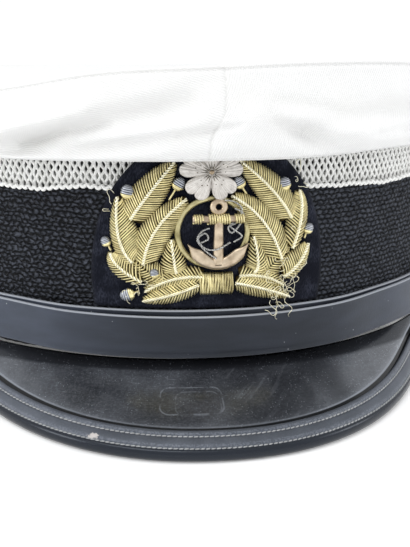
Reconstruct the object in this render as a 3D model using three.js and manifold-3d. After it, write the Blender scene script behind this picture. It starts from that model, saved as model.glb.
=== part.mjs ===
// Peaked naval cap with a white twill crown, a net band, a knitted black band, a shiny
// black peak, a two-layer chin strap and an embroidered wreath badge. Millimetres, +Z up.
// The cap is built in its own frame: its bands are level, its front looks toward -Y and
// z = 0 is where the knitted band ends and the net begins. One turned group then stands it
// on its peak and on the back of its headband.

import * as THREE from 'three';
import { mergeVertices } from 'three/addons/utils/BufferGeometryUtils.js';
import Module from 'manifold-3d';

const wasm = await Module();
wasm.setup();

// Bands round the head
const BAND_HALF_WIDTH = 94;
const BAND_HALF_LENGTH = 99.8;
const BAND_HEIGHT = 46;
const HEADBAND_WALL = 2;
const NET_WALL = 1.8;
const NET_HEIGHT_FRONT = 16;
const NET_HEIGHT_BACK = 8;
const NET_GAP_WIDTH = 7.4;
const NET_GAP_HEIGHT = 4.4;
const KNIT_PROUD = 0.8;
const CLEARANCE = 0.3;
const BAND_STEPS = 54;

// Crown
const CROWN_WALL = 1.5;
const CROWN_HEIGHT = 35;
const CROWN_OVERHANG = 20;
const CROWN_CENTRE_HEIGHT = 24;
const CROWN_BULGE = 2.2;
const LIP_REACH = 8.6;
const LIP_DROP = 6;
const LIP_WALL = 1.9;
const FOLD_DEPTH = 3.2;
const FOLD_WIDTH = 3.4;

// Peak and its binding
const PEAK_REACH = 32.5;
const PEAK_DROP = 16;
const PEAK_WALL = 1.6;
const PEAK_CAMBER = 0.8;
const PEAK_CORNER_TURN = 58;
const PEAK_STEPS = 31;
const BINDING_WALL = 0.9;
const BINDING_WIDTH = 8.8;

// Chin strap and its side buttons
const STRAP_WALL = 1.2;
const STRAP_HEIGHT = 11.8;
const STRAP_RISE = 3.2;
const STRAP_STEP_DOWN = 1.4;
const STRAP_END_TURN = 74;
const STRAP_STEPS = 36;
const BUTTON_TURN = 69;
const BUTTON_RADIUS = 5.6;
const BUTTON_HEIGHT = 3.2;

// Badge; the ring's radius, the anchor's height and the blossom's radius are shares of the
// badge's half height
const BADGE_SHIFT = 0.9;
const BADGE_MARGIN = 0.5;
const BADGE_HALF_WIDTH = 28;
const PATCH_WALL = 1.2;
const PATCH_MARGIN = 4;
const LEAF_HEIGHT = 1.4;
const LEAF_HALF_WIDTH = 3.6;
const BUD_RADIUS = 1.7;
const BUD_HEIGHT = 2;
const STEM_WIDTH = 0.7;
const TIE_HALF_WIDTH = 4.3;
const TIE_HALF_HEIGHT = 2.9;
const TIE_HEIGHT = 1.8;
const RING_SHARE = 0.3935;
const RING_STRIP = 1.55;
const RING_HEIGHT = 1.2;
const ANCHOR_WALL = 2;
const ANCHOR_SHARE = 0.7913;
const ANCHOR_HALF_SPAN = 7.6;
const ANCHOR_STOCK_HALF = 6.5;
const ANCHOR_SHANK_WIDTH = 2.2;
const ANCHOR_EYE_RADIUS = 1.5;
const ANCHOR_EYE_STRIP = 1.2;
const ROPE_RADIUS = 0.45;
const BLOSSOM_SHARE = 0.348;
const BLOSSOM_HEIGHT = 2.6;
const BLOSSOM_HUB_RADIUS = 4.2;

// Sections of the crown round the head. Turn is in degrees from the front, positive to the
// cap's right in front view. Rim and lip heights are shares of CROWN_HEIGHT, the overhang
// of the rim is a share of CROWN_OVERHANG.
const CROWN_SECTIONS = [
  { turn: 0, rim: 0.986, overhang: 0.72, lip: 0.297 },
  { turn: 15, rim: 1.014, overhang: 0.74, lip: 0.3 },
  { turn: 30, rim: 0.986, overhang: 0.84, lip: 0.32 },
  { turn: 55, rim: 0.84, overhang: 1.05, lip: 0.29 },
  { turn: 90, rim: 0.7, overhang: 1.2, lip: 0.22 },
  { turn: 135, rim: 0.55, overhang: 1, lip: 0.13 },
  { turn: 180, rim: 0.47, overhang: 0.8, lip: 0.09 },
  { turn: 225, rim: 0.52, overhang: 1, lip: 0.12 },
  { turn: 270, rim: 0.63, overhang: 1.2, lip: 0.2 },
  { turn: 305, rim: 0.69, overhang: 1.05, lip: 0.25 },
  { turn: 330, rim: 0.785, overhang: 0.84, lip: 0.257 },
  { turn: 345, rim: 0.935, overhang: 0.74, lip: 0.283 },
];

// Folds in the crown's side. Turns are in degrees, up is the share of the way from lip to
// rim, depth and width are shares of FOLD_DEPTH and FOLD_WIDTH. A negative depth is a roll.
const CROWN_FOLDS = [
  { fromTurn: -31, fromUp: 0.08, toTurn: -21, toUp: 0.42, depth: 0.9, width: 1 },
  { fromTurn: -21, fromUp: 0.42, toTurn: -4, toUp: 0.6, depth: 0.7, width: 1 },
  { fromTurn: -23, fromUp: 0.1, toTurn: -1, toUp: 0.36, depth: 0.55, width: 0.9 },
  { fromTurn: 0, fromUp: 0.36, toTurn: 18, toUp: 0.16, depth: 0.45, width: 0.9 },
  { fromTurn: 14, fromUp: 0.44, toTurn: 34, toUp: 0.36, depth: 0.4, width: 1.2 },
  { fromTurn: 18, fromUp: 0.3, toTurn: 26, toUp: 0.28, depth: -0.5, width: 1.3 },
  { fromTurn: -12, fromUp: 0.26, toTurn: -3, toUp: 0.34, depth: -0.4, width: 1.2 },
  { fromTurn: 52, fromUp: 0.3, toTurn: 84, toUp: 0.5, depth: 0.7, width: 1.4 },
  { fromTurn: 118, fromUp: 0.5, toTurn: 150, toUp: 0.3, depth: 0.6, width: 1.3 },
  { fromTurn: 205, fromUp: 0.35, toTurn: 236, toUp: 0.5, depth: 0.6, width: 1.3 },
  { fromTurn: 276, fromUp: 0.45, toTurn: 306, toUp: 0.3, depth: 0.7, width: 1.4 },
];

// Outline of the badge's ground from foot to top: half width as a share of
// BADGE_HALF_WIDTH, up as a share of the ground's own height.
const PATCH_OUTLINE = [
  { up: 0, half: 0.97 },
  { up: 0.14, half: 1 },
  { up: 0.32, half: 0.99 },
  { up: 0.5, half: 0.94 },
  { up: 0.68, half: 0.83 },
  { up: 0.82, half: 0.68 },
  { up: 0.93, half: 0.5 },
  { up: 1, half: 0.34 },
];

// Leaves of the wreath, in the order in which they are laid. The root, bend and tip are
// shares of BADGE_HALF_WIDTH and BADGE_HALF_HEIGHT from the badge's middle, half is a share
// of LEAF_HALF_WIDTH.
const LEAVES = [
  { side: 'left', root: [-0.74, 0.09], bend: [-0.57, 0.4], tip: [-0.35, 0.75], half: 1 },
  { side: 'left', root: [-0.63, -0.44], bend: [-0.51, -0.02], tip: [-0.24, 0.33], half: 0.89 },
  { side: 'left', root: [-0.73, -0.42], bend: [-0.85, -0.12], tip: [-0.86, 0.34], half: 0.72 },
  { side: 'left', root: [-0.65, -0.65], bend: [-0.85, -0.48], tip: [-0.93, -0.32], half: 0.72 },
  { side: 'left', root: [-0.33, -0.54], bend: [-0.35, -0.41], tip: [-0.38, -0.15], half: 0.56 },
  { side: 'left', root: [-0.13, -0.69], bend: [-0.37, -0.8], tip: [-0.64, -0.89], half: 0.7 },
  { side: 'right', root: [0.73, 0.08], bend: [0.52, 0.43], tip: [0.22, 0.77], half: 0.94 },
  { side: 'right', root: [0.65, -0.41], bend: [0.45, 0.06], tip: [0.16, 0.36], half: 0.89 },
  { side: 'right', root: [0.76, -0.29], bend: [0.83, 0.09], tip: [0.81, 0.39], half: 0.61 },
  { side: 'right', root: [0.69, -0.63], bend: [0.83, -0.48], tip: [0.93, -0.26], half: 0.67 },
  { side: 'right', root: [0.39, -0.55], bend: [0.42, -0.44], tip: [0.38, -0.13], half: 0.56 },
  { side: 'right', root: [0.22, -0.68], bend: [0.47, -0.76], tip: [0.76, -0.9], half: 0.66 },
];

// Buds on their stems, in the same shares.
const BUDS = [
  { side: 'left', root: [-0.4, 0.31], tip: [-0.31, 0.5], size: 0.95 },
  { side: 'left', root: [-0.79, 0.22], tip: [-0.77, 0.4], size: 1 },
  { side: 'left', root: [-0.93, -0.3], tip: [-0.975, -0.19], size: 0.75 },
  { side: 'left', root: [-0.68, -0.78], tip: [-0.78, -0.82], size: 1 },
  { side: 'left', root: [-0.5, -0.68], tip: [-0.53, -0.55], size: 0.7 },
  { side: 'right', root: [0.36, 0.34], tip: [0.27, 0.5], size: 0.85 },
  { side: 'right', root: [0.72, 0.39], tip: [0.7, 0.52], size: 0.9 },
  { side: 'right', root: [0.96, -0.2], tip: [0.985, -0.07], size: 0.75 },
];

// Course of the small rope over the anchor: across is a share of the stock's half length,
// up a share of the anchor's height above its foot.
const ROPE_COURSE = [
  { across: 0.34, up: 0.88 },
  { across: 0.5, up: 0.72 },
  { across: 0.1, up: 0.52 },
  { across: -0.42, up: 0.4 },
  { across: -0.05, up: 0.26 },
  { across: 0.46, up: 0.2 },
  { across: 0.2, up: 0.05 },
];

const RADIAN = Math.PI / 180;
const HEADBAND_OUTER = -NET_WALL - CLEARANCE;
const HEADBAND_INNER = HEADBAND_OUTER - HEADBAND_WALL;
const STRAP_TOP = BAND_HEIGHT - STRAP_RISE - STRAP_HEIGHT;
const BADGE_HALF_HEIGHT = (NET_HEIGHT_FRONT + STRAP_TOP) / 2 - BADGE_MARGIN;
const BADGE_MIDDLE_DEPTH = (STRAP_TOP - NET_HEIGHT_FRONT) / 2 + BADGE_MARGIN;
const RING_RADIUS = RING_SHARE * BADGE_HALF_HEIGHT;
const ANCHOR_HEIGHT = ANCHOR_SHARE * BADGE_HALF_HEIGHT;
const BLOSSOM_RADIUS = BLOSSOM_SHARE * BADGE_HALF_HEIGHT;
const PATCH_BACK = KNIT_PROUD + CLEARANCE;
const PATCH_FRONT = PATCH_BACK + PATCH_WALL;
const BADGE_BASE = PATCH_FRONT + CLEARANCE;
const RING_FRONT = BADGE_BASE + RING_HEIGHT;
const OVER_RING = RING_FRONT + CLEARANCE;
const NOSE = PEAK_WALL / 2 + CLEARANCE + BINDING_WALL;
const HEEL = BAND_HALF_LENGTH + HEADBAND_OUTER;
const FLOOR_SLOPE = PEAK_DROP / (HEEL + BAND_HALF_LENGTH + PEAK_REACH);

const mix = THREE.MathUtils.lerp;
const smooth = THREE.MathUtils.smoothstep;

// A point round the head: how far it stands out from the net's outer face, its turn from
// the front in radians and its height.
function around(out, turn, up) {
  return new THREE.Vector3(
    (BAND_HALF_WIDTH + out) * Math.sin(turn),
    -(BAND_HALF_LENGTH + out) * Math.cos(turn),
    up,
  );
}

// A point over the band near a turn, from its distance along the band, its height and how
// far it stands out.
function onBand(along, up, out, turn = 0) {
  return around(out, turn + along / BAND_HALF_WIDTH, up);
}

function steps(count, from, to) {
  return Array.from({ length: count + 1 }, (_, i) => mix(from, to, i / count));
}

// Drops repeated corners and faces without area and turns all faces outwards.
function closedGeometry(points, faces) {
  const loose = new THREE.BufferGeometry();
  const places = points.flatMap((p) => [p.x, p.y, p.z]);
  loose.setAttribute('position', new THREE.Float32BufferAttribute(places, 3));
  loose.setIndex(faces.flat());
  const welded = mergeVertices(loose, 1e-4);
  const index = welded.getIndex().array;
  const position = welded.getAttribute('position');
  const kept = [];
  let volume = 0;
  const [a, b, c] = [new THREE.Vector3(), new THREE.Vector3(), new THREE.Vector3()];
  for (let i = 0; i < index.length; i += 3) {
    const [u, v, w] = [index[i], index[i + 1], index[i + 2]];
    if (u === v || v === w || w === u) continue;
    kept.push([u, v, w]);
    a.fromBufferAttribute(position, u);
    b.fromBufferAttribute(position, v);
    c.fromBufferAttribute(position, w);
    volume += a.dot(b.cross(c));
  }
  welded.setIndex(kept.flatMap(([u, v, w]) => (volume > 0 ? [u, v, w] : [u, w, v])));
  return welded;
}

// Faces that fill a nearly flat loop of points, turned as the loop runs.
function capFaces(loop) {
  const middle = loop.reduce((sum, p) => sum.add(p), new THREE.Vector3()).divideScalar(loop.length);
  const normal = new THREE.Vector3();
  loop.forEach((p, i) => {
    const q = loop[(i + 1) % loop.length];
    normal.add(p.clone().sub(middle).cross(q.clone().sub(middle)));
  });
  const facing = new THREE.Quaternion().setFromUnitVectors(normal.normalize(), new THREE.Vector3(0, 0, 1));
  const flat = loop.map((p) => {
    const turned = p.clone().sub(middle).applyQuaternion(facing);
    return new THREE.Vector2(turned.x, turned.y);
  });
  return THREE.ShapeUtils.triangulateShape(flat, []);
}

// A closed solid from rows of sections, each a loop of places in the section's own plane
// that place() sets in space. A ring joins its last row to its first; otherwise both ends
// are capped.
function loft(rows, sectionAt, place, ring = false) {
  const sections = rows.map(sectionAt);
  const count = sections[0].length;
  const points = sections.flatMap((section, i) => section.map((p) => place(rows[i], p)));
  const faces = [];
  const last = ring ? rows.length : rows.length - 1;
  for (let i = 0; i < last; i += 1) {
    const here = i * count;
    const next = ((i + 1) % rows.length) * count;
    for (let j = 0; j < count; j += 1) {
      const k = (j + 1) % count;
      faces.push([here + j, here + k, next + k], [here + j, next + k, next + j]);
    }
  }
  if (!ring) {
    const lastRow = points.length - count;
    faces.push(...capFaces(points.slice(0, count)).map(([u, v, w]) => [u, w, v]));
    faces.push(...capFaces(points.slice(lastRow)).map((face) => face.map((i) => lastRow + i)));
  }
  return closedGeometry(points, faces);
}

// A closed solid swept round an axis from chains that all start and end on it.
function spun(turns, chainAt) {
  const chains = turns.map(chainAt);
  const count = chains[0].length;
  const faces = [];
  for (let i = 0; i < chains.length; i += 1) {
    const here = i * count;
    const next = ((i + 1) % chains.length) * count;
    for (let j = 0; j < count - 1; j += 1) {
      faces.push([here + j, here + j + 1, next + j + 1], [here + j, next + j + 1, next + j]);
    }
  }
  return closedGeometry(chains.flat(), faces);
}

function toManifold(geometry) {
  return new wasm.Manifold(new wasm.Mesh({
    numProp: 3,
    vertProperties: new Float32Array(geometry.getAttribute('position').array),
    triVerts: new Uint32Array(geometry.getIndex().array),
  }));
}

function fromManifold(manifold) {
  const mesh = manifold.getMesh();
  const geometry = new THREE.BufferGeometry();
  geometry.setAttribute('position', new THREE.BufferAttribute(mesh.vertProperties, 3));
  geometry.setIndex(new THREE.BufferAttribute(mesh.triVerts, 1));
  return geometry;
}

function joined(geometries) {
  return fromManifold(geometries.map(toManifold).reduce((whole, next) => whole.add(next)));
}

function cutFrom(geometry, cutters) {
  const whole = toManifold(geometry);
  return fromManifold(cutters.map(toManifold).reduce((left, next) => left.subtract(next), whole));
}

// Lays shapes on one ground one after another. Each is trimmed clear of those laid before
// it and keeps its largest remainder; shapeAt(grow) gives the shape made larger by grow.
class Layer {
  laid = [];

  lay(shapeAt) {
    const trimmed = this.laid.reduce((left, other) => left.subtract(other), toManifold(shapeAt(0)));
    this.laid.push(toManifold(shapeAt(CLEARANCE)));
    const [largest] = trimmed.decompose().sort((a, b) => b.volume() - a.volume());
    return fromManifold(largest);
  }
}

function point2(x, y) {
  return new THREE.Vector2(x, y);
}

function rectangle(left, right, low, high) {
  return [point2(left, low), point2(right, low), point2(right, high), point2(left, high)];
}

function roundTurns(count) {
  return steps(count, 0, 2 * Math.PI).slice(0, count);
}

// Smooth curve round the head through the crown's sections.
function crownValue(turn, column) {
  const degrees = THREE.MathUtils.euclideanModulo(turn / RADIAN, 360);
  const count = CROWN_SECTIONS.length;
  let i = count - 1;
  while (CROWN_SECTIONS[i].turn > degrees) i -= 1;
  const at = (k) => CROWN_SECTIONS[(k + count) % count][column];
  const start = CROWN_SECTIONS[i].turn;
  const end = i + 1 < count ? CROWN_SECTIONS[i + 1].turn : 360;
  const t = (degrees - start) / (end - start);
  const [p, q, r, s] = [at(i - 1), at(i), at(i + 1), at(i + 2)];
  return q + (t / 2) * (r - p + t * (2 * p - 5 * q + 4 * r - s + t * (3 * (q - r) + s - p)));
}

function netTop(turn) {
  return mix(NET_HEIGHT_BACK, NET_HEIGHT_FRONT, (1 + Math.cos(turn)) / 2);
}

// Depth of the crown's folds at a place on its side.
function foldDepth(turn, up, height) {
  const degrees = THREE.MathUtils.euclideanModulo(turn / RADIAN + 60, 360) - 60;
  const perDegree = RADIAN * BAND_HALF_WIDTH;
  let depth = 0;
  for (const fold of CROWN_FOLDS) {
    const length = point2((fold.toTurn - fold.fromTurn) * perDegree, (fold.toUp - fold.fromUp) * height);
    const away = point2((degrees - fold.fromTurn) * perDegree, (up - fold.fromUp) * height);
    const share = THREE.MathUtils.clamp(away.dot(length) / length.lengthSq(), 0, 1);
    const distance = away.addScaledVector(length, -share).length() / (fold.width * FOLD_WIDTH);
    const fade = Math.sqrt(Math.sin(Math.PI * mix(0.12, 0.88, share)));
    depth += fold.depth * FOLD_DEPTH * Math.exp(-distance * distance) * fade;
  }
  return depth;
}

// The crown's heights and overhangs at one turn round the head.
function crownSize(turn) {
  const joint = netTop(turn) + CLEARANCE;
  return {
    joint,
    rim: crownValue(turn, 'rim') * CROWN_HEIGHT,
    lip: Math.min(crownValue(turn, 'lip') * CROWN_HEIGHT, joint - LIP_DROP / 2),
    overhang: crownValue(turn, 'overhang') * CROWN_OVERHANG,
  };
}

// Outer face of the crown's side, up from the lip (0) to the rim (1).
function crownSide(turn, up) {
  const { rim, lip, overhang } = crownSize(turn);
  const height = rim - lip;
  const bulge = CROWN_BULGE * Math.sin(Math.PI * Math.sqrt(up));
  const fade = smooth(up, 0, 0.15) * (1 - smooth(up, 0.8, 1));
  const out = mix(LIP_REACH + LIP_WALL, overhang, up) + bulge - foldDepth(turn, up, height) * fade;
  return around(out, turn, mix(lip, rim, up));
}

// Face of the crown's top, out from its centre (0) to its rim (1), lowered by a wall.
function crownTop(turn, share, lowered) {
  const { rim, overhang } = crownSize(turn);
  const reach = overhang - lowered;
  const up = mix(CROWN_CENTRE_HEIGHT, rim, share ** 1.6) - lowered;
  return new THREE.Vector3(
    share * (BAND_HALF_WIDTH + reach) * Math.sin(turn),
    -share * (BAND_HALF_LENGTH + reach) * Math.cos(turn),
    up,
  );
}

function crown() {
  const sideUps = [0.92, 0.8, 0.68, 0.56, 0.44, 0.34, 0.24, 0.12];
  return spun(roundTurns(BAND_STEPS), (turn) => {
    const { joint, rim, lip, overhang } = crownSize(turn);
    const floor = joint + CROWN_WALL;
    return [
      ...[0, 0.4, 0.75, 0.94].map((share) => crownTop(turn, share, 0)),
      around(overhang - 0.3, turn, rim - 0.2),
      ...sideUps.map((up) => crownSide(turn, up)),
      around(LIP_REACH + LIP_WALL, turn, lip + 0.5),
      around(LIP_REACH + LIP_WALL / 2, turn, lip),
      around(LIP_REACH, turn, lip + 0.5),
      around(LIP_REACH, turn, joint),
      around(HEADBAND_INNER, turn, joint),
      around(HEADBAND_INNER, turn, floor),
      around(LIP_REACH, turn, floor),
      ...[0.94, 0.7, 0.4, 0].map((share) => crownTop(turn, share, CROWN_WALL)),
    ];
  });
}

function band(inner, outer, low, topAt) {
  return loft(
    roundTurns(BAND_STEPS),
    (turn) => rectangle(inner, outer, low, topAt(turn)),
    (turn, p) => around(p.x, turn, p.y),
    true,
  );
}

function headband() {
  return band(HEADBAND_INNER, HEADBAND_OUTER, -BAND_HEIGHT, netTop);
}

function knitBand() {
  return band(-NET_WALL, KNIT_PROUD, -BAND_HEIGHT + CLEARANCE, () => 0);
}

// One slanted opening through the net.
function netGap(turn, up) {
  const outs = [-NET_WALL - 2 * CLEARANCE, 2 * CLEARANCE];
  const section = [point2(-1, 0), point2(0, -1), point2(1, 0), point2(0, 1)];
  return loft(
    outs,
    () => section,
    (out, p) => onBand(p.x * NET_GAP_WIDTH / 2, up + p.y * NET_GAP_HEIGHT / 2, out, turn),
  );
}

// Two staggered rows of openings, each opening inside one flat of the band.
function netBand() {
  const gaps = steps(BAND_STEPS, 0, BAND_STEPS).slice(0, BAND_STEPS).map((i) => {
    const turn = (i + 0.5) * 2 * Math.PI / BAND_STEPS;
    return netGap(turn, netTop(turn) * (i % 2 ? 0.32 : 0.66));
  });
  return cutFrom(band(-NET_WALL, 0, CLEARANCE, netTop), gaps);
}

// The rim's centre line and the peak's root at one turn, and the frame of the section
// between them.
function peakSection(turn) {
  const share = Math.abs(turn) / (PEAK_CORNER_TURN * RADIAN);
  const reach = (PEAK_REACH - NOSE) * (1 - share ** 2.3) ** 2.35;
  const root = around(0, turn, -BAND_HEIGHT);
  const edge = around(reach, turn, 0);
  const floor = -BAND_HEIGHT - (HEEL - edge.y) * FLOOR_SLOPE;
  edge.z = mix(root.z, floor + NOSE, Math.sqrt(1 - share ** 10));
  const flatness = Math.hypot(edge.x - root.x, edge.y - root.y) / edge.distanceTo(root);
  root.z -= flatness * PEAK_WALL / 2;
  const along = edge.clone().sub(root);
  const width = along.length();
  along.normalize();
  const level = around(1, turn, 0).setZ(0).normalize();
  const normal = new THREE.Vector3(-along.z * level.x, -along.z * level.y, Math.hypot(along.x, along.y));
  return { edge, along, normal: normal.normalize(), width };
}

// Sets a place of the section in space: x runs from the root (-width) to the rim (0), y is
// out of the upper face. The section is slightly arched.
function onPeak(turn, p) {
  const { edge, along, normal, width } = peakSection(turn);
  const share = THREE.MathUtils.clamp(1 + p.x / width, 0, 1);
  const camber = PEAK_CAMBER * 4 * share * (1 - share) * Math.min(1, width / PEAK_REACH);
  return edge.clone().addScaledVector(along, p.x).addScaledVector(normal, p.y + camber);
}

function peakTurns() {
  const end = PEAK_CORNER_TURN * 0.985 * RADIAN;
  return steps(PEAK_STEPS, -1, 1).map((share) => end * Math.sin(share * Math.PI / 2));
}

function peak() {
  const half = PEAK_WALL / 2;
  const section = (turn) => {
    const { width } = peakSection(turn);
    const inside = steps(4, -width, 0);
    return [
      ...inside.map((x) => point2(x, half)),
      point2(half * 0.5, half * 0.5),
      point2(half * 0.5, -half * 0.5),
      ...inside.reverse().map((x) => point2(x, -half)),
    ];
  };
  return loft(peakTurns(), section, onPeak);
}

function peakBinding() {
  const inner = PEAK_WALL / 2 + CLEARANCE;
  const section = (turn) => {
    const { width } = peakSection(turn);
    const leg = Math.max(CLEARANCE, Math.min(BINDING_WIDTH - NOSE, width - 2 * NOSE / 3 - CLEARANCE));
    const nose = (radius) => steps(3, Math.PI / 2, -Math.PI / 2).map((a) => (
      point2(radius * Math.cos(a), radius * Math.sin(a))
    ));
    return [
      point2(-leg, NOSE),
      point2(-leg / 2, NOSE),
      ...nose(NOSE),
      point2(-leg / 2, -NOSE),
      point2(-leg, -NOSE),
      point2(-leg, -inner),
      point2(-leg / 2, -inner),
      ...nose(inner).reverse(),
      point2(-leg / 2, inner),
      point2(-leg, inner),
    ];
  };
  return loft(peakTurns(), section, onPeak);
}

// Back face of the rear strap: it passes over the badge's ground in front and lies on the
// knitted band elsewhere.
function strapSeat(turn) {
  const edge = (BADGE_HALF_WIDTH + PATCH_MARGIN + BADGE_SHIFT) / BAND_HALF_WIDTH;
  const over = 1 - smooth(Math.abs(turn), edge * 1.05, edge * 1.7);
  return PATCH_BACK + over * (PATCH_WALL + CLEARANCE);
}

function strap(layer) {
  const end = STRAP_END_TURN * RADIAN;
  const section = (turn) => {
    const back = strapSeat(turn) + layer * (STRAP_WALL + CLEARANCE);
    const top = -STRAP_TOP - layer * STRAP_STEP_DOWN * Math.cos(turn) ** 4;
    return rectangle(back, back + STRAP_WALL, top - STRAP_HEIGHT, top);
  };
  return loft(steps(STRAP_STEPS, -end, end), section, (turn, p) => around(p.x, turn, p.y));
}

// A round button with a domed face on the strap.
function button(side) {
  const turn = side * BUTTON_TURN * RADIAN;
  const back = strapSeat(turn) + 2 * (STRAP_WALL + CLEARANCE);
  const up = -STRAP_TOP - STRAP_HEIGHT / 2;
  const place = (angle, share, out) => onBand(
    share * BUTTON_RADIUS * Math.cos(angle),
    up + share * BUTTON_RADIUS * Math.sin(angle),
    back + out * BUTTON_HEIGHT,
    turn,
  );
  return spun(roundTurns(14), (angle) => [
    place(angle, 0, 1),
    place(angle, 0.6, 0.9),
    place(angle, 0.94, 0.62),
    place(angle, 1, 0.35),
    place(angle, 0.94, 0),
    place(angle, 0, 0),
  ]);
}

// A place on the badge's ground, from shares of the badge's half sizes.
function badgePlace([across, up]) {
  return point2(BADGE_SHIFT + across * BADGE_HALF_WIDTH, -BADGE_MIDDLE_DEPTH + up * BADGE_HALF_HEIGHT);
}

function patch() {
  const foot = -STRAP_TOP + CLEARANCE;
  const top = NET_HEIGHT_FRONT - CLEARANCE;
  const across = steps(12, -1, 1);
  const section = ({ half }) => {
    const reach = half * (BADGE_HALF_WIDTH + PATCH_MARGIN);
    return [
      ...across.map((share) => point2(BADGE_SHIFT + share * reach, PATCH_FRONT)),
      ...[...across].reverse().map((share) => point2(BADGE_SHIFT + share * reach, PATCH_BACK)),
    ];
  };
  return loft(PATCH_OUTLINE, section, (row, p) => onBand(p.x, mix(foot, top, row.up), p.y));
}

// A solid that follows a line on the badge. Each row of the line has a share of its length;
// sectionAt gives the section there, across the line and out of the ground.
function alongLine(line, rows, sectionAt) {
  return loft(rows, sectionAt, (share, p) => {
    const middle = line.getPointAt(share);
    const ahead = line.getTangentAt(share);
    return onBand(middle.x - p.x * ahead.y, middle.y + p.x * ahead.x, BADGE_BASE + p.y);
  });
}

// A padded leaf with a ridge along its middle.
function leaf({ root, bend, tip, half }, grow) {
  const start = badgePlace(root);
  const end = badgePlace(tip);
  const control = badgePlace(bend).multiplyScalar(2).addScaledVector(start, -0.5).addScaledVector(end, -0.5);
  const line = new THREE.QuadraticBezierCurve(start, control, end);
  const rows = [0, 0.1, 0.26, 0.42, 0.58, 0.74, 0.89, 1];
  return alongLine(line, rows, (share) => {
    const swell = Math.sin(Math.PI * mix(0.06, 0.95, share)) ** 0.8;
    const wide = half * LEAF_HALF_WIDTH * swell + grow;
    const high = LEAF_HEIGHT * mix(0.5, 1, swell) + grow;
    return [
      point2(-wide, -grow),
      point2(wide, -grow),
      point2(wide * 0.6, high * 0.85),
      point2(0, high),
      point2(-wide * 0.6, high * 0.85),
    ];
  });
}

// A round bud at the end of a thin stem.
function bud({ root, tip, size }, grow) {
  const radius = size * BUD_RADIUS;
  const start = badgePlace(root);
  const end = badgePlace(tip);
  const reach = end.clone().sub(start).setLength(radius * 0.94);
  const line = new THREE.LineCurve(start, end.clone().add(reach));
  const length = line.getLength();
  const middle = 1 - radius * 0.94 / length;
  const ball = [-0.93, -0.6, -0.2, 0.2, 0.6, 0.94].map((x) => ({ share: middle + x * radius / length, x }));
  const rows = [{ share: 0, x: -2 }, ...ball.map((row) => ({ ...row, share: Math.min(1, row.share) }))];
  return loft(
    rows,
    ({ x }) => {
      const wide = x < -1 ? STEM_WIDTH / 2 : Math.max(STEM_WIDTH / 2, radius * Math.sqrt(1 - x * x));
      const high = x < -1 ? STEM_WIDTH : Math.max(STEM_WIDTH, BUD_HEIGHT * Math.sqrt(1 - x * x));
      return [
        point2(-wide - grow, -grow),
        point2(wide + grow, -grow),
        point2(wide * 0.85 + grow, high * 0.6),
        point2(0, high + grow),
        point2(-wide * 0.85 - grow, high * 0.6),
      ];
    },
    ({ share }, p) => {
      const at = line.getPointAt(Math.max(0, share));
      const ahead = line.getTangentAt(0);
      return onBand(at.x - p.x * ahead.y, at.y + p.x * ahead.x, BADGE_BASE + p.y);
    },
  );
}

// The wound tie that gathers the wreath at its foot, with a rounded face.
function tie(grow) {
  const middle = badgePlace([0.04, -0.68]);
  const section = (across) => {
    const out = TIE_HEIGHT * mix(0.7, 1, Math.sqrt(1 - across * across));
    const low = middle.y - TIE_HALF_HEIGHT - grow;
    const high = middle.y + TIE_HALF_HEIGHT + grow;
    return [
      point2(low, -grow),
      point2(high, -grow),
      point2(high, out * 0.7 + grow),
      point2(middle.y, out + grow),
      point2(low, out * 0.7 + grow),
    ];
  };
  return loft(
    steps(6, -1, 1),
    section,
    (across, p) => onBand(middle.x + across * (TIE_HALF_WIDTH + grow), p.x, BADGE_BASE + p.y),
  );
}

// A round strip on the badge, seen from the front as a ring.
function hoop(middle, radius, strip, base, height, sides) {
  return loft(
    roundTurns(sides),
    () => [
      point2(-strip / 2, 0),
      point2(strip / 2, 0),
      point2(strip / 2, height * 0.6),
      point2(0, height),
      point2(-strip / 2, height * 0.6),
    ],
    (angle, p) => onBand(
      middle.x + (radius + p.x) * Math.cos(angle),
      middle.y + (radius + p.x) * Math.sin(angle),
      base + p.y,
    ),
    true,
  );
}

function ringMiddle() {
  return badgePlace([0, -0.065]);
}

function badgeRing(grow) {
  const strip = RING_STRIP + 2 * grow;
  return hoop(ringMiddle(), RING_RADIUS, strip, BADGE_BASE - grow, RING_HEIGHT + 2 * grow, 32);
}

// Where the anchor's foot stands on the badge.
function anchorFoot() {
  return ringMiddle().add(point2(1.2, -RING_RADIUS));
}

// A bar of the anchor through places on the badge, with a half width at each.
function anchorBar(line, halfAt, count) {
  return loft(
    steps(count, 0, 1),
    (share) => {
      const half = halfAt(share);
      return [
        point2(-half, 0),
        point2(half, 0),
        point2(half, ANCHOR_WALL * 0.6),
        point2(half * 0.5, ANCHOR_WALL),
        point2(-half * 0.5, ANCHOR_WALL),
        point2(-half, ANCHOR_WALL * 0.6),
      ];
    },
    (share, p) => {
      const at = line.getPoint(share);
      const ahead = line.getTangent(share);
      return onBand(at.x - p.x * ahead.y, at.y + p.x * ahead.x, OVER_RING + p.y);
    },
  );
}

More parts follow.
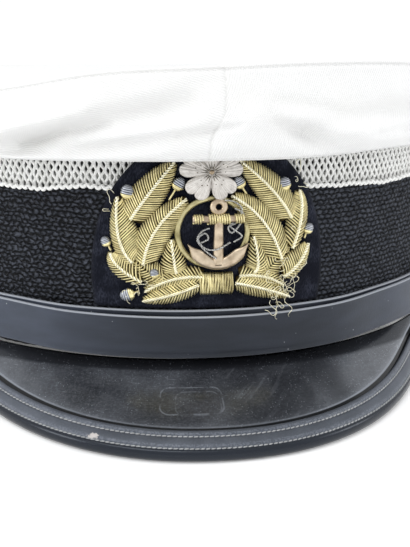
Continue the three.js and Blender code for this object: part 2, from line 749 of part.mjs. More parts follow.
function anchor() {
  const foot = anchorFoot();
  const half = ANCHOR_SHANK_WIDTH / 2;
  const eyeOuter = ANCHOR_EYE_RADIUS + ANCHOR_EYE_STRIP / 2;
  const eye = point2(foot.x, foot.y + ANCHOR_HEIGHT - eyeOuter);
  const shank = new THREE.LineCurve(
    point2(foot.x, foot.y + half * 0.6),
    point2(eye.x, eye.y - ANCHOR_EYE_RADIUS),
  );
  const stockUp = eye.y - eyeOuter - half * 1.6;
  const stock = new THREE.LineCurve(
    point2(foot.x - ANCHOR_STOCK_HALF, stockUp),
    point2(foot.x + ANCHOR_STOCK_HALF, stockUp),
  );
  const lift = ANCHOR_HEIGHT * 0.34;
  const arms = new THREE.QuadraticBezierCurve(
    point2(foot.x - ANCHOR_HALF_SPAN, foot.y + lift),
    point2(foot.x, foot.y - lift * 0.78),
    point2(foot.x + ANCHOR_HALF_SPAN, foot.y + lift),
  );
  const armHalf = (share) => {
    const fromEnd = 1 - Math.abs(2 * share - 1);
    return half * (fromEnd < 0.22 ? mix(0.25, 1.5, fromEnd / 0.22) : mix(1.5, 0.9, (fromEnd - 0.22) / 0.78));
  };
  return joined([
    anchorBar(shank, () => half, 3),
    anchorBar(stock, () => half * 1.1, 4),
    anchorBar(arms, armHalf, 12),
    hoop(eye, ANCHOR_EYE_RADIUS, ANCHOR_EYE_STRIP, OVER_RING, ANCHOR_WALL * 0.8, 14),
  ]);
}

// The small rope that lies over the anchor.
function anchorRope() {
  const foot = anchorFoot();
  const places = ROPE_COURSE.map(({ across, up }) => new THREE.Vector3(
    foot.x + across * ANCHOR_STOCK_HALF,
    foot.y + up * ANCHOR_HEIGHT,
    0,
  ));
  const course = new THREE.CatmullRomCurve3(places);
  const out = OVER_RING + ANCHOR_WALL + CLEARANCE + ROPE_RADIUS;
  return loft(
    steps(18, 0, 1),
    () => roundTurns(6).map((a) => point2(ROPE_RADIUS * Math.cos(a), ROPE_RADIUS * Math.sin(a))),
    (share, p) => {
      const at = course.getPoint(share);
      const ahead = course.getTangent(share);
      return onBand(at.x - p.x * ahead.y, at.y + p.x * ahead.x, out + p.y);
    },
  );
}

// A blossom of five notched petals. Its hub sits on the ground and its petals pass over
// the ring.
function blossom() {
  const middle = badgePlace([-0.03, 0.645]);
  const reachAt = (angle) => {
    const fifths = (angle - Math.PI / 2) / (2 * Math.PI / 5);
    const petal = Math.abs(THREE.MathUtils.euclideanModulo(fifths + 0.5, 1) - 0.5) * 2;
    const round = Math.sqrt(1 - (petal * 0.9) ** 2.6);
    return BLOSSOM_RADIUS * (round - 0.09 * Math.exp(-((petal / 0.16) ** 2)));
  };
  const lifted = OVER_RING;
  const face = lifted + BLOSSOM_HEIGHT;
  return spun(roundTurns(40), (angle) => {
    const reach = reachAt(angle);
    const place = (radius, out) => onBand(
      middle.x + radius * Math.cos(angle),
      middle.y + radius * Math.sin(angle),
      out,
    );
    return [
      place(0, face),
      place(BLOSSOM_RADIUS * 0.14, face - 0.2),
      place(reach * 0.55, mix(lifted, face, 0.62)),
      place(reach, mix(lifted, face, 0.45)),
      place(reach, lifted),
      place(Math.min(reach * 0.94, BLOSSOM_HUB_RADIUS + RING_HEIGHT + CLEARANCE), lifted),
      place(Math.min(reach * 0.9, BLOSSOM_HUB_RADIUS), BADGE_BASE),
      place(0, BADGE_BASE),
    ];
  });
}

// Materials
const whiteTwill = { color: 0xe9eaec, roughness: 0.85, metalness: 0 };
const whiteNet = { color: 0xdcdcd8, roughness: 0.9, metalness: 0 };
const blackKnit = { color: 0x15161b, roughness: 0.95, metalness: 0 };
const darkLining = { color: 0x1d1d20, roughness: 0.7, metalness: 0 };
const navyFelt = { color: 0x10121a, roughness: 0.95, metalness: 0 };
const shinyPeak = { color: 0x0c0d10, roughness: 0.15, metalness: 0 };
const strapLeather = { color: 0x3a4048, roughness: 0.4, metalness: 0 };
const goldWire = { color: 0xb08d3e, roughness: 0.45, metalness: 0.8 };
const silverWire = { color: 0xb9bab8, roughness: 0.45, metalness: 0.8 };
const copperGilt = { color: 0xb5836a, roughness: 0.35, metalness: 0.8 };
const oliveGold = { color: 0x8a7a3c, roughness: 0.45, metalness: 0.8 };
const blackButton = { color: 0x17181b, roughness: 0.35, metalness: 0 };

const cap = new THREE.Group();

function add(name, geometry, finish) {
  geometry.computeVertexNormals();
  const mesh = new THREE.Mesh(geometry, new THREE.MeshStandardMaterial({ ...finish, flatShading: true }));
  mesh.name = name;
  cap.add(mesh);
}

add('headband', headband(), darkLining);
add('net_band', netBand(), whiteNet);
add('knit_band', knitBand(), blackKnit);
add('crown', crown(), whiteTwill);
add('peak', peak(), shinyPeak);
add('peak_binding', peakBinding(), shinyPeak);
add('chin_strap_rear', strap(0), strapLeather);
add('chin_strap_front', strap(1), strapLeather);
add('button_left', button(-1), blackButton);
add('button_right', button(1), blackButton);
add('badge_ground', patch(), navyFelt);

const layer = new Layer();
add('badge_ring', layer.lay(badgeRing), oliveGold);
add('badge_tie', layer.lay(tie), goldWire);

const sprigs = [['leaf', LEAVES, leaf, goldWire], ['bud', BUDS, bud, silverWire]];
for (const [kind, rows, shape, finish] of sprigs) {
  for (const side of ['left', 'right']) {
    rows.filter((row) => row.side === side).forEach((row, i) => {
      add(`${kind}_${side}_${i + 1}`, layer.lay((grow) => shape(row, grow)), finish);
    });
  }
}

add('anchor', anchor(), copperGilt);
add('anchor_rope', anchorRope(), silverWire);
add('blossom', blossom(), silverWire);

// Stands the cap on its peak and the back of its headband, over the middle of its outline.
cap.rotation.x = -Math.atan(FLOOR_SLOPE);
cap.updateMatrixWorld(true);
const box = new THREE.Box3().setFromObject(cap, true);
cap.position.set(-(box.min.x + box.max.x) / 2, -(box.min.y + box.max.y) / 2, -box.min.z);

export default cap;
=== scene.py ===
"""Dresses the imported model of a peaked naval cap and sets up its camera, floor and light.

All shapes are worked out in millimetres in the cap's own frame, where the bands are level,
the front looks toward -Y and height 0 is where the knitted band ends and the net begins.
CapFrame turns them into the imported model's frame in metres. A turn is an angle round the
head in radians, 0 in front and growing toward +X.
"""

import logging
import math
from dataclasses import dataclass, field
from enum import Enum
from typing import Callable, Sequence

import bpy
import numpy as np
from mathutils import Matrix


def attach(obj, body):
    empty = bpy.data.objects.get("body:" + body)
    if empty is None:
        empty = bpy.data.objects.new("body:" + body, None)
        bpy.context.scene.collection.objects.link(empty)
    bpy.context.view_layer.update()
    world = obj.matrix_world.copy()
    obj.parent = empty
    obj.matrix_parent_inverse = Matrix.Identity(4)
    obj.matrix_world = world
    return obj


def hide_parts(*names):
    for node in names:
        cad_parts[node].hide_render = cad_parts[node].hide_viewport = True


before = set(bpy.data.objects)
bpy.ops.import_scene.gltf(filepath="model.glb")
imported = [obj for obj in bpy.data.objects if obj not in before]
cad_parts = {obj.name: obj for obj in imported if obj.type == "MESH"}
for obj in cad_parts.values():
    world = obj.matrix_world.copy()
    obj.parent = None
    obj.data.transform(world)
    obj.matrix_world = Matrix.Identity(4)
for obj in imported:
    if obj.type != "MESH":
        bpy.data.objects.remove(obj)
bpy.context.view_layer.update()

log = logging.getLogger("cap")
Array = np.ndarray
Number = float | np.ndarray
Colour = tuple[float, float, float]
Value = "Socket | float | Sequence[float]"


def mix(start: Number, end: Number, share: Number) -> Number:
    """Returns start where share is 0, end where it is 1, and a straight blend between."""
    return start + (end - start) * share


def smooth(value: Number, low: float, high: float) -> Number:
    """Returns 0 below low, 1 above high, and a smooth S-shaped rise between them."""
    share = np.clip((value - low) / (high - low), 0.0, 1.0)
    return share * share * (3.0 - 2.0 * share)


def bell(value: Number, middle: float, width: float) -> Number:
    """Returns a bell: 1 at the middle and 1/e at a width to each side of it."""
    return np.exp(-((value - middle) / width) ** 2)


def through(p: Array, q: Array, r: Array, s: Array, t: Array) -> Array:
    """Returns the smooth curve from q to r at the share t, with p before and s after them."""
    return q + t / 2 * (r - p + t * (2 * p - 5 * q + 4 * r - s + t * (3 * (q - r) + s - p)))


def wrapped(turn: Number) -> Number:
    """Returns the same turn between half a turn back and half a turn on."""
    return (turn + np.pi) % (2 * np.pi) - np.pi


def round_turns(count: int) -> Array:
    """Returns turns in even steps once round, from 0."""
    return np.arange(count) * 2 * np.pi / count


def circle(angle: Array) -> Array:
    """Returns the unit circle's points at the angles; the last axis holds x and y."""
    return np.stack([np.cos(angle), np.sin(angle)], -1)


def unit(vectors: Array) -> Array:
    """Returns the vectors at length 1; the last axis holds x, y and z."""
    return vectors / np.maximum(np.linalg.norm(vectors, axis=-1, keepdims=True), 1e-12)


def to_left(ahead: Array) -> Array:
    """Returns flat directions turned a quarter turn to the left."""
    return np.stack([-ahead[..., 1], ahead[..., 0]], -1)


def walked(points: Array, axis: int) -> Array:
    """Returns the distance walked from point to point along an axis of the grid, from 0."""
    steps = np.diff(points, axis=axis, prepend=np.take(points, [0], axis))
    return np.cumsum(np.linalg.norm(steps, axis=-1), axis)


def looped(grid: Array) -> Array:
    """Repeats the grid's first column after its last."""
    return np.concatenate([grid, grid[:, :1]], 1)


@dataclass(frozen=True)
class BandSizes:
    """Sizes round the head that the pieces share, in millimetres."""

    half_width: float = 94.0
    half_length: float = 99.8
    height: float = 46.0
    clearance: float = 0.3
    headband_outer: float = -2.1
    headband_wall: float = 2.0
    net_front: float = 16.0
    net_back: float = 8.0
    net_rises: tuple[tuple[float, float, float], ...] = ((1.9, -17.0, 9.0), (1.4, 18.0, 10.0))
    mean_radius: float = 97.0
    knit_proud: float = 0.8
    badge_base: float = 2.6
    over_ring: float = 4.1


BAND = BandSizes()


def around(out: Number, turn: Number, up: Number) -> Array:
    """Places points round the head.

    x is (half width + out) times the turn's sine, y is minus (half length + out) times its
    cosine, z is up.

    Args:
        out: Distance in front of the net's outer face.
        turn: Turn round the head.
        up: Height.

    Returns:
        Points with x, y and z on the last axis.
    """
    out, turn, up = np.broadcast_arrays(out, turn, up)
    x = (BAND.half_width + out) * np.sin(turn)
    y = -(BAND.half_length + out) * np.cos(turn)
    return np.stack([x, y, up + 0.0], -1)


def on_band(along: Number, up: Number, out: Number, turn: Number = 0.0) -> Array:
    """Places points over the band from a distance along it; the turn is along / half width."""
    return around(out, turn + np.asarray(along) / BAND.half_width, up)


def outward(along: Number, turn: Number = 0.0) -> Array:
    """Returns the level unit vectors that point away from the head at places on the band."""
    angle = turn + np.asarray(along) / BAND.half_width
    return np.stack([np.sin(angle), -np.cos(angle), np.zeros_like(angle)], -1)


def net_top(turn: Array) -> Array:
    """Height of the net's upper edge: it falls with the cosine of the turn toward the back."""
    return mix(BAND.net_back, BAND.net_front, (1.0 + np.cos(turn)) / 2.0)


def net_foot(turn: Array) -> Array:
    """Height of the net's lower edge: level but for the bells of its rises by the badge."""
    degrees = np.degrees(wrapped(turn))
    return sum(height * bell(degrees, middle, width) for height, middle, width in BAND.net_rises)


class CapFrame:
    """The cap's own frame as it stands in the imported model, read from the knitted band."""

    def __init__(self) -> None:
        """Finds the frame's origin, the middle of the band's top ring, and its upward axis."""
        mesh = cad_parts["knit_band"].data
        places = np.empty(len(mesh.vertices) * 3)
        mesh.vertices.foreach_get("co", places)
        places = np.unique(places.reshape(-1, 3).round(6), axis=0)
        upper = places[:, 2] > places[:, 2].mean()
        self.origin = places[upper].mean(0)
        up = unit(self.origin - places[~upper].mean(0))
        ahead = unit(np.cross(up, [1.0, 0.0, 0.0]))
        self.axes = np.stack([np.cross(ahead, up), ahead, up])

    def turned(self, vectors: Array) -> Array:
        """Turns vectors from the cap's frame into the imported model's."""
        return np.asarray(vectors) @ self.axes

    def placed(self, points: Array) -> Array:
        """Moves points in millimetres of the cap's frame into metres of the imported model's."""
        return self.origin + self.turned(points) / 1000.0


CAP = CapFrame()


@dataclass
class Shape:
    """A mesh in the making, in millimetres of the cap's frame.

    Attributes:
        points: Corner places, one row each.
        faces: Arrays of corner numbers, one array for each number of corners.
        places: Texture places of the faces' corners, as the faces are.
        finish: Number of each face's finish, as the faces are.
        tone: A number from 0 to 1 for each corner that materials read: mostly a strand's tone; on the crown's side
            and the peak's board it places painted shade and highlight.
    """

    points: Array
    faces: list[Array]
    places: list[Array]
    finish: list[Array]
    tone: Array

    @staticmethod
    def joined(shapes: Sequence["Shape"]) -> "Shape":
        """Puts several shapes into one."""
        offsets = np.cumsum([0] + [len(shape.points) for shape in shapes])
        return Shape(
            np.concatenate([shape.points for shape in shapes]),
            [faces + start for shape, start in zip(shapes, offsets) for faces in shape.faces],
            [places for shape in shapes for places in shape.places],
            [finish for shape in shapes for finish in shape.finish],
            np.concatenate([shape.tone for shape in shapes]),
        )

    def outwards(self) -> "Shape":
        """Turns all faces round if the volume they enclose comes out negative."""
        volume = 0.0
        for faces in self.faces:
            corners = self.points[faces]
            for k in range(1, faces.shape[1] - 1):
                volume += np.einsum("ij,ij->", corners[:, 0], np.cross(corners[:, k], corners[:, k + 1]))
        if volume < 0:
            self.faces = [faces[:, ::-1] for faces in self.faces]
            self.places = [places[:, ::-1] for places in self.places]
        return self

    def mesh(self, name: str) -> bpy.types.Mesh:
        """Writes the shape into a new mesh with its texture places and tones."""
        mesh = bpy.data.meshes.new(name)
        mesh.vertices.add(len(self.points))
        mesh.vertices.foreach_set("co", CAP.placed(self.points).ravel())
        counts = np.concatenate([np.full(len(faces), faces.shape[1]) for faces in self.faces])
        mesh.loops.add(int(counts.sum()))
        mesh.loops.foreach_set("vertex_index", np.concatenate([faces.ravel() for faces in self.faces]))
        mesh.polygons.add(len(counts))
        mesh.polygons.foreach_set("loop_start", np.concatenate([[0], np.cumsum(counts)[:-1]]))
        mesh.polygons.foreach_set("material_index", np.concatenate(self.finish))
        mesh.polygons.foreach_set("use_smooth", np.ones(len(counts), bool))
        places = np.concatenate([places.reshape(-1, 2) for places in self.places])
        mesh.uv_layers.new(name="UVMap").data.foreach_set("uv", places.ravel())
        mesh.attributes.new("tone", "FLOAT", "POINT").data.foreach_set("value", self.tone)
        mesh.update(calc_edges=True)
        mesh.validate()
        return mesh


def surfaces(points: Array, ring: bool = True, chain: bool = False, ends: bool = True,
             places: Array | None = None, tone: Array | float = 0.5, finish: int = 0) -> Shape:
    """Skins a batch of grids of points that all have the same size.

    Args:
        points: Grid points, indexed by surface, row, column and axis.
        ring: Whether the last column joins the first.
        chain: Whether the last row joins the first.
        ends: Whether open rows are closed by fans round the middle of the end rows.
        places: Texture places, indexed alike, with one column or row more where it closes.
        tone: Tone of each surface, or one for all.
        finish: Number of the faces' finish.

    Returns:
        The closed or open shape with its faces outwards.
    """
    count, rows, columns = points.shape[:3]
    ends = ends and ring and not chain
    down, along = np.arange(rows if chain else rows - 1), np.arange(columns if ring else columns - 1)
    i, j = (index.ravel() for index in np.meshgrid(down, along, indexing="ij"))
    corners = [(i, j), (i + 1, j), (i + 1, j + 1), (i, j + 1)]
    quads = np.stack([(a % rows) * columns + b % columns for a, b in corners], -1)
    if places is None:
        shares = np.linspace(0, 1, rows + chain), np.linspace(0, 1, columns + ring)
        places = np.stack(np.meshgrid(*shares, indexing="ij"), -1)
    places = np.broadcast_to(places, (count, rows + chain, columns + ring, 2))
    quad_places = np.stack([places[:, a, b] for a, b in corners], -2)
    grid = points.reshape(count, -1, 3)
    size = rows * columns + (2 if ends else 0)
    start = (np.arange(count) * size)[:, None, None]
    faces, maps = [(quads[None] + start).reshape(-1, 4)], [quad_places.reshape(-1, 4, 2)]
    if ends:
        grid = np.concatenate([grid, points[:, :1].mean(2), points[:, -1:].mean(2)], 1)
        k = np.arange(columns)
        last = (rows - 1) * columns
        first_fan = np.stack([np.full(columns, rows * columns), k, (k + 1) % columns], -1)
        last_fan = np.stack([np.full(columns, rows * columns + 1), last + (k + 1) % columns, last + k], -1)
        fans = np.concatenate([first_fan, last_fan])
        rims = np.concatenate([
            np.stack([places[:, 0, :1].repeat(columns, 1), places[:, 0, k], places[:, 0, k + 1]], -2),
            np.stack([places[:, -1, :1].repeat(columns, 1), places[:, -1, k + 1], places[:, -1, k]], -2),
        ], 1)
        faces.append((fans[None] + start).reshape(-1, 3))
        maps.append(rims.reshape(-1, 3, 2))
    tones = np.broadcast_to(np.asarray(tone, float).reshape(-1, 1), (count, size)).ravel()
    marks = [np.full(len(part), finish) for part in faces]
    return Shape(grid.reshape(-1, 3), faces, maps, marks, tones).outwards()


def surface(points: Array, places: Array | None = None, **options) -> Shape:
    """Skins one grid of points; the options are those of surfaces()."""
    return surfaces(points[None], places=None if places is None else places[None], **options)


def tubes(paths: Array, normals: Array, across: Number, out: Number | None = None, sides: int = 6,
          **options) -> Shape:
    """Carries an oval round each path.

    A point is the path's point plus the oval's cosine times its width along the level
    direction across the path, plus its sine times its height along the normal.

    Args:
        paths: Path points, indexed by path, step and axis.
        normals: Directions that the ovals' heights follow, indexed alike.
        across: Half widths, one number or one for each path and step.
        out: Half heights; the half widths where left out.
        sides: Corners of an oval.
        **options: Options of surfaces().

    Returns:
        The closed tubes.
    """
    count, steps = paths.shape[:2]
    across = np.broadcast_to(across, (count, steps))
    out = across if out is None else np.broadcast_to(out, (count, steps))
    ahead = unit(np.gradient(paths, axis=1))
    side = unit(np.cross(ahead, np.broadcast_to(normals, paths.shape)))
    up = np.cross(side, ahead)
    angle = round_turns(sides)
    points = (
        paths[:, :, None]
        + (across[..., None] * np.cos(angle))[..., None] * side[:, :, None]
        + (out[..., None] * np.sin(angle))[..., None] * up[:, :, None]
    )
    places = np.stack(np.broadcast_arrays(walked(paths, 1)[..., None], np.linspace(0, 1, sides + 1)), -1)
    return surfaces(points, places=places, **options)


def copies(template: Array, middles: Array, axes: Array, **options) -> Shape:
    """Sets copies of one grid of points at places, each with its own three axes.

    Args:
        template: The grid, indexed by row, column and axis.
        middles: Places of the copies.
        axes: For each copy the directions of the template's x, y and z.
        **options: Options of surfaces().

    Returns:
        The copies in one shape.
    """
    points = middles[:, None, None] + np.einsum("ijk,tkl->tijl", template, axes)
    return surfaces(points, **options)


def capsule(half_length: float, radius: float, rows: int = 5, sides: int = 5) -> Array:
    """Returns a grid for a stitch along x: a ball stretched to its length, thick in z and y."""
    angle = np.linspace(0.12, math.pi - 0.12, rows)[:, None]
    turn = round_turns(sides)
    x = -half_length * np.cos(angle) + 0 * turn
    reach = radius * np.sin(angle) ** 0.5
    return np.stack([x, reach * np.cos(turn), reach * np.sin(turn)], -1)


def evenly(path: Array, pitch: float) -> tuple[Array, Array]:
    """Walks along a path in even steps.

    Args:
        path: Points of the path.
        pitch: Distance from one step to the next.

    Returns:
        The places of the steps and the directions of the path there.
    """
    length = walked(path, 0)
    at = np.arange(pitch / 2, length[-1], pitch)
    middles = np.stack([np.interp(at, length, path[:, k]) for k in range(3)], -1)
    ahead = np.stack([np.interp(at, length, np.gradient(path[:, k], length)) for k in range(3)], -1)
    return middles, unit(ahead)


class Socket:
    """The output of a shader node, with the arithmetic of numbers."""

    def __init__(self, nodes: "Nodes", port: bpy.types.NodeSocket) -> None:
        """Keeps the node tree and the output."""
        self.nodes = nodes
        self.port = port

    def math(self, operation: str, other: Value = 0.0, flipped: bool = False) -> "Socket":
        """Combines this output with another value, which comes first where flipped."""
        pair = (other, self) if flipped else (self, other)
        return self.nodes.make("ShaderNodeMath", {0: pair[0], 1: pair[1]}, operation=operation)

    def __add__(self, other: Value) -> "Socket":
        """Returns self + other."""
        return self.math("ADD", other)

    def __radd__(self, other: Value) -> "Socket":
        """Returns other + self."""
        return self.math("ADD", other, True)

    def __sub__(self, other: Value) -> "Socket":
        """Returns self - other."""
        return self.math("SUBTRACT", other)

    def __rsub__(self, other: Value) -> "Socket":
        """Returns other - self."""
        return self.math("SUBTRACT", other, True)

    def __mul__(self, other: Value) -> "Socket":
        """Returns self * other."""
        return self.math("MULTIPLY", other)

    def __rmul__(self, other: Value) -> "Socket":
        """Returns other * self."""
        return self.math("MULTIPLY", other, True)

    def __truediv__(self, other: Value) -> "Socket":
        """Returns self / other."""
        return self.math("DIVIDE", other)

    def __pow__(self, other: Value) -> "Socket":
        """Returns self to the power of other."""
        return self.math("POWER", other)

    def away(self, middle: float) -> "Socket":
        """Returns this value's distance from another."""
        return (self - middle).math("ABSOLUTE")

    def wave(self, pitch: float) -> "Socket":
        """Returns a wave from 0 to 1 that repeats each time this value grows by the pitch."""
        return (self * (2 * math.pi / pitch)).math("SINE") * 0.5 + 0.5
    def rise(self, low: float, high: float) -> "Socket":
        """Returns 0 below low, 1 above high and a smooth rise between; low may be the larger."""
        return self.nodes.make(
            "ShaderNodeMapRange", {0: self, 1: low, 2: high}, interpolation_type="SMOOTHSTEP", clamp=True
        )

    def blend(self, first: Value, second: Value) -> "Socket":
        """Returns the first colour where this value is 0 and the second where it is 1."""
        return self.nodes.make("ShaderNodeMix", {0: self, 6: first, 7: second}, output=2, data_type="RGBA")


class Nodes:
    """The node tree of one material, with a Principled shader at its end."""

    def __init__(self, name: str) -> None:
        """Starts a material that has only its shader and its output."""
        self.material = bpy.data.materials.new(name)
        self.material.use_nodes = True
        self.tree = self.material.node_tree
        self.shader = self.tree.nodes["Principled BSDF"]

    def make(self, kind: str, inputs: dict[int | str, Value] | None = None, output: int | str = 0,
             **settings) -> Socket:
        """Makes a node of any kind.

        Args:
            kind: Blender's name of the kind of node.
            inputs: Values or other outputs, by the input's number or name.
            output: Number or name of the output that is wanted.
            **settings: The node's own settings.

        Returns:
            The wanted output.
        """
        node = self.tree.nodes.new(kind)
        for name, value in settings.items():
            setattr(node, name, value)
        for key, value in (inputs or {}).items():
            self.feed(node.inputs[key], value)
        return Socket(self, node.outputs[output])

    def feed(self, port: bpy.types.NodeSocket, value: Value) -> None:
        """Links an output to an input, or sets the input's own value."""
        if isinstance(value, Socket):
            self.tree.links.new(value.port, port)
        elif hasattr(port.default_value, "__len__"):
            numbers = list(value)
            port.default_value = numbers + [1.0] * (len(port.default_value) - len(numbers))
        else:
            port.default_value = value

    def millimetres(self) -> Socket:
        """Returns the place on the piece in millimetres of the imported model's frame."""
        place = self.make("ShaderNodeTexCoord", output="Object")
        return self.make("ShaderNodeVectorMath", {0: place, "Scale": 1000.0}, operation="SCALE")

    def cloth(self) -> Socket:
        """Returns the place on the piece's own texture map."""
        return self.make("ShaderNodeUVMap", uv_map="UVMap")

    def parts(self, vector: Socket) -> tuple[Socket, Socket, Socket]:
        """Returns the x, y and z of a vector."""
        node = self.make("ShaderNodeSeparateXYZ", {0: vector}).port.node
        return tuple(Socket(self, port) for port in node.outputs)

    def vector(self, x: Value = 0.0, y: Value = 0.0, z: Value = 0.0) -> Socket:
        """Returns a vector made of three values."""
        return self.make("ShaderNodeCombineXYZ", {0: x, 1: y, 2: z})

    def noise(self, place: Value, size: float, detail: float = 2.0,
              stretch: Sequence[float] = (1, 1, 1)) -> Socket:
        """Returns noise about 0.5.

        Args:
            place: Where the noise is read.
            size: Size of its blotches in the place's unit.
            detail: Number of finer layers.
            stretch: How much longer the blotches are along x, y and z.

        Returns:
            The noise.
        """
        scale = [1.0 / (size * s) for s in stretch]
        at = self.make("ShaderNodeMapping", {"Vector": place, "Scale": scale})
        return self.make("ShaderNodeTexNoise", {"Vector": at, "Scale": 1.0, "Detail": detail})

    def specks(self, place: Value, pitch: float, radius: float) -> Socket:
        """Returns 1 in small spots, about one for each pitch, and 0 elsewhere."""
        spot = self.make("ShaderNodeTexVoronoi", {"Vector": place, "Scale": 1.0 / pitch, "Randomness": 1.0})
        return spot.rise(radius / pitch, radius / pitch * 0.6)

    def tone(self) -> Socket:
        """Returns the tone kept with the piece's corners."""
        return self.make("ShaderNodeAttribute", output="Fac", attribute_name="tone")

    def finish(self, colour: Value, roughness: Value, height: Socket | None = None, relief: float = 0.1,
               **constants: Value) -> bpy.types.Material:
        """Feeds the shader.

        Args:
            colour: Base colour.
            roughness: Roughness.
            height: Relief from 0 to 1.
            relief: Depth of the relief in millimetres.
            **constants: Other inputs of the shader, by name with _ for a space.

        Returns:
            The material.
        """
        self.feed(self.shader.inputs["Base Color"], colour)
        self.feed(self.shader.inputs["Roughness"], roughness)
        if height is not None:
            relief = {"Height": height, "Strength": 1.0, "Distance": relief / 1000.0}
            self.feed(self.shader.inputs["Normal"], self.make("ShaderNodeBump", relief))
        for name, value in constants.items():
            self.feed(self.shader.inputs[name.replace("_", " ")], value)
        return self.material


@dataclass(frozen=True)
class Twill:
    """White cotton twill: fine slanted ribs, faint cross threads, a few soft stains, painted shade in the side's
    folds and darker seam lines.
    """

    light: Colour = (0.81, 0.81, 0.805)
    shade: Colour = (0.70, 0.70, 0.70)
    # Colour of the painted shade in the folds and creases, and of the darker seam lines.
    fold_shade_and_seam_colour: Colour = (0.56, 0.555, 0.54)
    rib: float = 0.62
    thread: float = 0.45

    def material(self) -> bpy.types.Material:
        """Makes the cloth's material."""
        n = Nodes("white twill")
        u, v, _ = n.parts(n.cloth())
        wander = n.noise(n.cloth(), 9.0, 2.0) * 0.9
        rib = (v + wander).wave(self.rib)
        cross = (u + wander * 0.5).wave(self.thread)
        grain = n.noise(n.cloth(), 0.3, 2.0, (3, 1, 1))
        height = rib * 0.65 + cross * 0.15 + grain * 0.35
        worn = n.noise(n.millimetres(), 26.0, 3.0).rise(0.45, 0.8) * 0.25
        colour = (height * 0.8 + 0.1).rise(0.1, 0.7).blend(self.shade, self.light)
        # Painted shade: the tone darkens the cloth toward that colour in the folds and creases, and along the
        # seams.
        colour = (n.tone() * 0.9).blend(worn.blend(colour, (0.76, 0.75, 0.71)), self.fold_shade_and_seam_colour)
        return n.finish(colour, 0.85, height, 0.09, Sheen_Weight=0.15)


@dataclass(frozen=True)
class Yarn:
    """Soft yarn of the net: twisted strands that differ a little in whiteness."""

    name: str = "white net yarn"
    light: Colour = (0.92, 0.92, 0.9)
    shade: Colour = (0.78, 0.78, 0.75)

    def material(self) -> bpy.types.Material:
        """Makes the yarn's material."""
        n = Nodes(self.name)
        u, v, _ = n.parts(n.cloth())
        twist = (u + v * 0.7).wave(0.42)
        fuzz = n.noise(n.millimetres(), 0.3, 3.0)
        height = twist * 0.6 + fuzz * 0.6
        colour = (n.tone() * 0.5 + fuzz * 0.6).rise(0.2, 0.7).blend(self.shade, self.light)
        return n.finish(colour, 0.9, height, 0.12, Sheen_Weight=0.2)


@dataclass(frozen=True)
class Knit:
    """Coarse black braid: staggered rows of small plump loops, loose on one side, with painted highlights on the
    loops' crests.
    """

    # light is the colour of the painted highlight on the loops' crests.
    light: Colour = (0.08, 0.089, 0.112)
    dark: Colour = (0.002, 0.0022, 0.003)
    loop: float = 1.9
    row: float = 1.4

    def material(self) -> bpy.types.Material:
        """Makes the braid's material."""
        n = Nodes("black braid")
        place = n.cloth()
        u, v, _ = n.parts(place)
        x, _, _ = n.parts(n.millimetres())
        loose = x.rise(20.0, -40.0) * 0.55 + 0.25
        sway = (n.noise(place, 2.6, 2.0) - 0.5) * loose * 3.4
        drift = (n.noise(n.vector(u, v, 7.0), 3.4, 2.0) - 0.5) * loose * 2.6
        q = (v + sway) / self.row
        level = q.math("FLOOR")
        inside = q.math("FRACT")
        p = (u + drift) / self.loop + level.math("MODULO", 2.0) * 0.5
        p = p + inside.away(0.5) * 0.55
        along = p.math("FRACT")
        crest = (along * math.pi).math("SINE") * 0.8 + 0.2
        lump = crest * (inside * math.pi).math("SINE").math("ABSOLUTE")
        seed = n.vector(p.math("FLOOR"), level, 3.0)
        chance = n.make("ShaderNodeTexWhiteNoise", {"Vector": seed}, noise_dimensions="3D")
        fibre = n.noise(place, 0.45, 4.0, (2.0, 1, 1))
        height = lump * 0.6 + fibre * 0.7
        # Painted highlight: each loop is lighter on its crest and darker toward its ends; the loose side is a
        # little darker.
        shape = lump * (chance * 0.3 + 0.5) + fibre * 1.2 - loose * 0.12 - 0.5
        colour = shape.rise(0.05, 0.95).blend(self.dark, self.light)
        return n.finish(colour, 0.7, height, 1.2, Specular_IOR_Level=0.16)


@dataclass(frozen=True)
class Felt:
    """Dark wool felt with short fibres and a little lint."""

    colour: Colour = (0.005, 0.006, 0.011)
    lint: Colour = (0.035, 0.039, 0.058)

    def material(self) -> bpy.types.Material:
        """Makes the felt's material."""
        n = Nodes("navy felt")
        place = n.millimetres()
        fibre = n.noise(place, 0.35, 4.0, (1.0, 1.0, 2.2))
        cloud = n.noise(place, 5.0, 2.0)
        height = fibre + cloud * 0.4
        colour = (fibre * cloud * 2.0).rise(0.35, 1.1).blend(self.colour, self.lint)
        return n.finish(colour, 0.95, height, 0.25, Sheen_Weight=0.02, Specular_IOR_Level=0.12)


